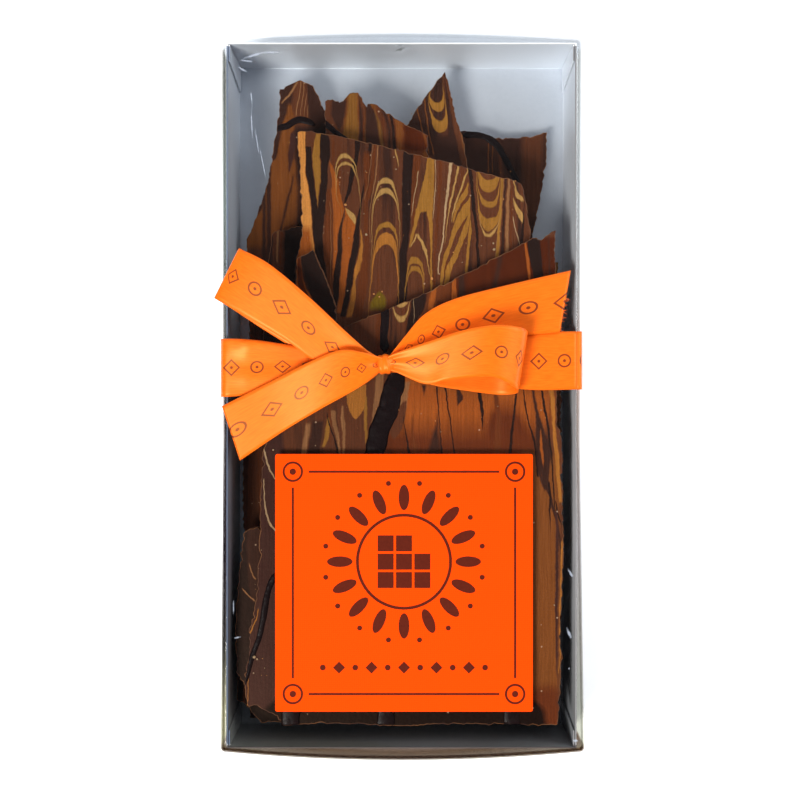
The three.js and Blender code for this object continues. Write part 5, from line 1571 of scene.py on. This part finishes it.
def satin():
    """Warp-faced satin: long floats along the ribbon mirror light across it in a broad streak."""
    material, tree = new_finish("orange_polyester_satin")
    uv = add(tree, "UVMap", {"uv_map": "along_ribbon"})
    split = add(tree, "SeparateXYZ", {}, {0: uv.outputs[0]})
    floats = add(tree, "Mapping", {}, {"Vector": uv.outputs[0], "Scale": (RIBBON_WIDTH / WEFT_MM, 5, 1)})
    thread = add(tree, "TexNoise", {}, {"Vector": floats.outputs[0], "Scale": 1.0, "Detail": 2.0})
    tone = add(tree, "ValToRGB", {}, {"Fac": thread.outputs["Fac"]})
    tone.color_ramp.elements[0].position, tone.color_ramp.elements[1].position = 0.3, 0.7
    tone.color_ramp.elements[0].color = linear("#f4650e")
    tone.color_ramp.elements[1].color = linear("#fe7417")
    bump = add(tree, "Bump", {}, {"Height": thread.outputs["Fac"], "Strength": 0.18, "Distance": 0.0001})

    turn = add(tree, "Math", {"operation": "DIVIDE"}, {0: split.outputs[1], 1: MARK_PITCH})
    cell = add(tree, "Math", {"operation": "FRACT"}, {0: turn.outputs[0]})
    number = add(tree, "Math", {"operation": "FLOOR"}, {0: turn.outputs[0]})
    odd = add(tree, "Math", {"operation": "MODULO"}, {0: number.outputs[0], 1: 2.0})
    is_odd = add(tree, "Math", {"operation": "ABSOLUTE"}, {0: odd.outputs[0]})
    along = add(tree, "Math", {"operation": "MULTIPLY_ADD"}, {
        0: cell.outputs[0], 1: MARK_PITCH * RIBBON_WIDTH, 2: -MARK_PITCH * RIBBON_WIDTH / 2,
    })
    across = add(tree, "Math", {"operation": "MULTIPLY_ADD"}, {
        0: split.outputs[0], 1: RIBBON_WIDTH, 2: -RIBBON_WIDTH / 2,
    })
    at = add(tree, "CombineXYZ", {}, {0: across.outputs[0], 1: along.outputs[0]})
    round_way = add(tree, "VectorMath", {"operation": "LENGTH"}, {0: at.outputs[0]})
    bent = add(tree, "VectorMath", {"operation": "ABSOLUTE"}, {0: at.outputs[0]})
    corner_way = add(tree, "VectorMath", {"operation": "DOT_PRODUCT"}, {
        0: bent.outputs[0], 1: (0.78, 0.78, 0),
    })
    ring = add(tree, "Mix", {}, {
        0: is_odd.outputs[0], 2: round_way.outputs["Value"], 3: corner_way.outputs["Value"],
    })
    off = add(tree, "Math", {"operation": "SUBTRACT"}, {0: ring.outputs[0], 1: 1.7})
    off = add(tree, "Math", {"operation": "ABSOLUTE"}, {0: off.outputs[0]})
    line = add(tree, "MapRange", {}, {"Value": off.outputs[0], 1: 0.3, 2: 0.18})
    dot = add(tree, "MapRange", {}, {"Value": round_way.outputs["Value"], 1: 0.5, 2: 0.38})
    mark = add(tree, "Math", {"operation": "MAXIMUM"}, {0: line.outputs[0], 1: dot.outputs[0]})
    printed = add(tree, "Mix", {"data_type": "RGBA"}, {
        0: mark.outputs[0], 6: tone.outputs["Color"], 7: linear("#83341a"),
    })

    tangent = add(tree, "Tangent", {"direction_type": "UV_MAP", "uv_map": "along_ribbon"})
    shader = add(tree, "BsdfPrincipled", {}, {
        "Base Color": printed.outputs[2], "Roughness": 0.4, "Specular IOR Level": 0.78,
        "Specular Tint": linear("#ffc17c"), "Anisotropic": 0.6, "Tangent": tangent.outputs[0],
        "Normal": bump.outputs[0],
    })
    add(tree, "OutputMaterial", {}, {"Surface": shader.outputs[0]})
    return material


SATIN = satin()


def strip(name, surface, length, long=STRIP_LONG, wide=STRIP_WIDE):
    """A strip of satin. surface gives the place for a share along it and a share across it."""
    bm = bmesh.new()
    layer = bm.loops.layers.uv.new("along_ribbon")
    bmesh.ops.create_grid(bm, x_segments=long, y_segments=wide, size=0.5)
    shares = {v: (v.co.x + 0.5, v.co.y + 0.5) for v in bm.verts}
    for face in bm.faces:
        for loop in face.loops:
            along, across = shares[loop.vert]
            loop[layer].uv = (across, along * length / RIBBON_WIDTH)
    for vert, (along, across) in shares.items():
        vert.co = spot(*surface(along, across))
    for face in bm.faces:
        face.smooth = True
    made = piece(name, bm, [SATIN])
    body = made.modifiers.new("ribbon_thickness", "SOLIDIFY")
    body.thickness = RIBBON_THICK * MM
    body.offset = 0
    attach(made, "root")
    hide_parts("ribbon")
    return made


def between(left, right, folds=None):
    """A surface between two edge curves, whose stations are x, y and height over the lid."""
    def surface(along, across):
        a, b = curve_point(left, along), curve_point(right, along)
        point = a.lerp(b, across)
        ahead = curve_point(left, along + 0.01) + curve_point(right, along + 0.01)
        ahead -= curve_point(left, along - 0.01) + curve_point(right, along - 0.01)
        face = ahead.cross(b - a).normalized()
        if face.z < 0:
            face = -face
        if folds:
            point += face * folds(along, across)
        return point.x, point.y, LID_TOP + point.z
    return surface


def length_of(left, right, steps=60):
    middle = [(curve_point(left, i / steps) + curve_point(right, i / steps)) / 2 for i in range(steps + 1)]
    return sum((b - a).length for a, b in zip(middle, middle[1:]))


def band_surface(along, across):
    """The band goes once round the box, rounding its four folds, and runs a little uphill."""
    half = BOX_HALF_X + CLEARANCE + RIBBON_THICK / 2
    low, high = RIBBON_THICK / 2, LID_TOP + CLEARANCE + RIBBON_THICK / 2
    straight_x, straight_z = 2 * (half - BAND_RADIUS), high - low - 2 * BAND_RADIUS
    arc = math.pi / 2 * BAND_RADIUS
    stretches = [
        (straight_x, 0), (arc, 1), (straight_z, 2), (arc, 3), (straight_x, 4), (arc, 5), (straight_z, 6),
        (arc, 7),
    ]
    left_over = along * sum(s[0] for s in stretches)
    corners = {1: (-1, 1, 90), 3: (-1, -1, 180), 5: (1, -1, 270), 7: (1, 1, 0)}
    for stretch, kind in stretches:
        if left_over <= stretch or kind == 7:
            break
        left_over -= stretch
    crease = 0
    if kind % 2:
        sx, sz, start = corners[kind]
        angle = math.radians(start) + left_over / BAND_RADIUS
        x = sx * (half - BAND_RADIUS) + BAND_RADIUS * math.cos(angle)
        middle_z = high - BAND_RADIUS if sz > 0 else low + BAND_RADIUS
        z = middle_z + BAND_RADIUS * math.sin(angle)
    elif kind == 0:
        x, z = half - BAND_RADIUS - left_over, high
    elif kind == 2:
        x, z = -half, high - BAND_RADIUS - left_over
    elif kind == 4:
        x, z = -half + BAND_RADIUS + left_over, low
    else:
        x, z = half, low + BAND_RADIUS + left_over
    width = RIBBON_WIDTH
    if kind == 0:
        away = min(1, abs(x - KNOT_PLACE[0]) / GATHER_REACH)
        full = away * away * (3 - 2 * away)
        width = GATHERED + (RIBBON_WIDTH - GATHERED) * full
        crease = 0.5 * (1 - full) ** 2 * (1 - math.cos(6 * math.pi * across))
    y = RIBBON_Y + RIBBON_SLOPE * x + (across - 0.5) * width
    if kind == 0 and x < CREASED_TO:
        away = min(1, (CREASED_TO - x) / 8) * min(1, max(0, (x + half - 1) / 6))
        off_axis = y - (8.6 + 0.03 * (x + 38))
        crease += away * sum(
            height * math.exp(-((off_axis - at) / wide) ** 2) for at, wide, height in BAND_RIDGES
        )
    return x, y, z + crease


# The two edges of each strip of the bow, from the knot outwards: x, y and height over the lid.
LEFT_LOOP = (
    [(-4.9, 9.7, 1.5), (-16, 17, 1.6), (-28.5, 28, 1.7), (-40.4, 37.6, 2), (-44.4, 40.7, 3), (-45, 41, 4.6),
     (-36.8, 36.6, 6.2), (-25.5, 27.2, 6.4), (-15.7, 18, 5.6), (-8.3, 11.6, 4.2), (-4.9, 9.9, 3.2)],
    [(-4.9, 7.9, 1.4), (-22, 9, 1.5), (-35.6, 16.5, 1.5), (-47.5, 24.2, 1.8), (-51.6, 26.7, 2.7),
     (-51.9, 26.9, 4.2), (-43.3, 21.9, 5.4), (-32.5, 15.5, 5.4), (-22.8, 8.9, 4.2), (-10.2, 6.6, 3.1),
     (-4.9, 7.7, 2.9)],
)
RIGHT_LOOP = (
    [(-4.3, 9.8, 1.6), (8, 12.8, 1.4), (20.8, 14.2, 1.2), (29.2, 16.2, 1.6), (34.8, 17, 5.2),
     (33.4, 18.7, 9.6), (26.3, 19.4, 11.8), (17.5, 18.1, 11.2), (7.9, 15.1, 9), (-1.2, 12, 6.2),
     (-4.3, 10.5, 5)],
    [(-4.3, 7.8, 1.5), (8, 3.2, 1.3), (19.4, 1.2, 1.2), (27.9, 0.2, 1.4), (32.4, 0.7, 4.4), (30.9, 2.6, 8.2),
     (24.4, 5.1, 10.6), (13.4, 4.3, 9.8), (6.5, 3.2, 7.7), (-1.6, 6.6, 5.6), (-4.3, 7.3, 4.8)],
)
LEFT_TAIL = (
    [
        (-4.9, 10.4, 5), (-11, 12.1, 7.1), (-17.2, 12.6, 7.2), (-25.3, 9.6, 6), (-37, 3.8, 3.2),
        (-50.8, -3, 1.3),
    ],
    [(-4.9, 7.2, 4.7), (-9.9, 3.5, 5.7), (-15.9, -0.1, 5.9), (-23.5, -4.3, 5.1), (-33.1, -10, 3.1),
     (-45.7, -18.4, 1.3)],
)
RIGHT_TAIL = (
    [
        (-4.3, 10.1, 3.3), (1, 16.7, 4.4), (6.6, 22.9, 4.2), (15, 27.2, 3.2), (29.2, 31, 2.4),
        (47.9, 35.4, 1.3),
    ],
    [
        (-4.3, 7.9, 2.8), (2.9, 10, 2.8), (8.6, 10.9, 2.4), (19.3, 12.8, 2.2), (32.1, 16.4, 2.4),
        (44.8, 17.9, 1.5),
    ],
)


def gathers(depth, count, reach, both_ends=False):
    """Folds that run out from the knot and fade away."""
    def folds(along, across):
        near = along if not both_ends else min(along, 1 - along)
        fade = max(0, 1 - near / reach) ** 2 * min(1, near / 0.03)
        return depth * fade * math.sin((across * count + 0.3) * math.pi)
    return folds


band_length = 4 * BOX_HALF_X + 2 * LID_TOP
strip("satin_band", band_surface, band_length, long=240)
strip("satin_left_loop", between(*LEFT_LOOP, gathers(0.8, 3, 0.3, True)), length_of(*LEFT_LOOP), long=160)
strip(
    "satin_right_loop", between(*RIGHT_LOOP, gathers(0.8, 4, 0.3, True)), length_of(*RIGHT_LOOP),
    long=160,
)
strip("satin_left_tail", between(*LEFT_TAIL, gathers(0.9, 3, 0.35)), length_of(*LEFT_TAIL))
strip("satin_right_tail", between(*RIGHT_TAIL, gathers(0.9, 3, 0.35)), length_of(*RIGHT_TAIL))

FRAYED = 15


def loose_threads():
    """Short warp threads that stick out of the cut end of the right tail, most of them low down."""
    bm = bmesh.new()
    rng = random.Random(8)
    far, near = Vector(RIGHT_TAIL[0][-1]), Vector(RIGHT_TAIL[1][-1])
    for _ in range(FRAYED):
        root = far.lerp(near, rng.uniform(0.3, 1) ** 0.7) + Vector((0, 0, LID_TOP))
        way = Vector((1, rng.uniform(-0.9, 0.5), rng.uniform(-0.1, 0.3))).normalized()
        length = rng.uniform(0.3, 1.3)
        lean = way.to_track_quat("Z", "Y").to_matrix().to_4x4()
        matrix = Matrix.Translation(spot(*(root + way * length * 0.4))) @ lean
        ends = {"radius1": 0.07 * MM, "radius2": 0.04 * MM, "depth": length * MM}
        bmesh.ops.create_cone(bm, cap_ends=True, segments=5, matrix=matrix, **ends)
    return bm


material, tree = new_finish("loose_satin_thread")
shader = add(tree, "BsdfPrincipled", {}, {"Base Color": linear("#f4650e"), "Roughness": 0.6})
add(tree, "OutputMaterial", {}, {"Surface": shader.outputs[0]})
threads = piece("satin_loose_threads", loose_threads(), [material])
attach(threads, "root")

KNOT_HALF = (2.6, 2.8, 3)
KNOT_SQUARE = 0.7
KNOT_RIDGES, KNOT_RIDGE_HEIGHT = 5, 0.05
KNOT_TURN = 0.07

bm = bmesh.new()
layer = bm.loops.layers.uv.new("along_ribbon")
bmesh.ops.create_uvsphere(bm, u_segments=48, v_segments=32, radius=1)
for vert in bm.verts:
    squared = [math.copysign(abs(c) ** KNOT_SQUARE, c) for c in vert.co]
    ridge = 1 + KNOT_RIDGE_HEIGHT * math.sin(squared[0] * KNOT_RIDGES * 1.6 + squared[1] * 1.2)
    x, y, z = (s * h * ridge for s, h in zip(squared, KNOT_HALF))
    turned = Matrix.Rotation(KNOT_TURN, 3, "Z") @ Vector((x, y, z))
    vert.co = spot(*(turned + Vector(KNOT_PLACE)))
for face in bm.faces:
    face.smooth = True
    for loop in face.loops:
        loop[layer].uv = ((loop.vert.co.x / MM) / RIBBON_WIDTH, 0.02)
bmesh.ops.recalc_face_normals(bm, faces=bm.faces)
knot = piece("satin_knot", bm, [SATIN])
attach(knot, "root")
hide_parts("ribbon")
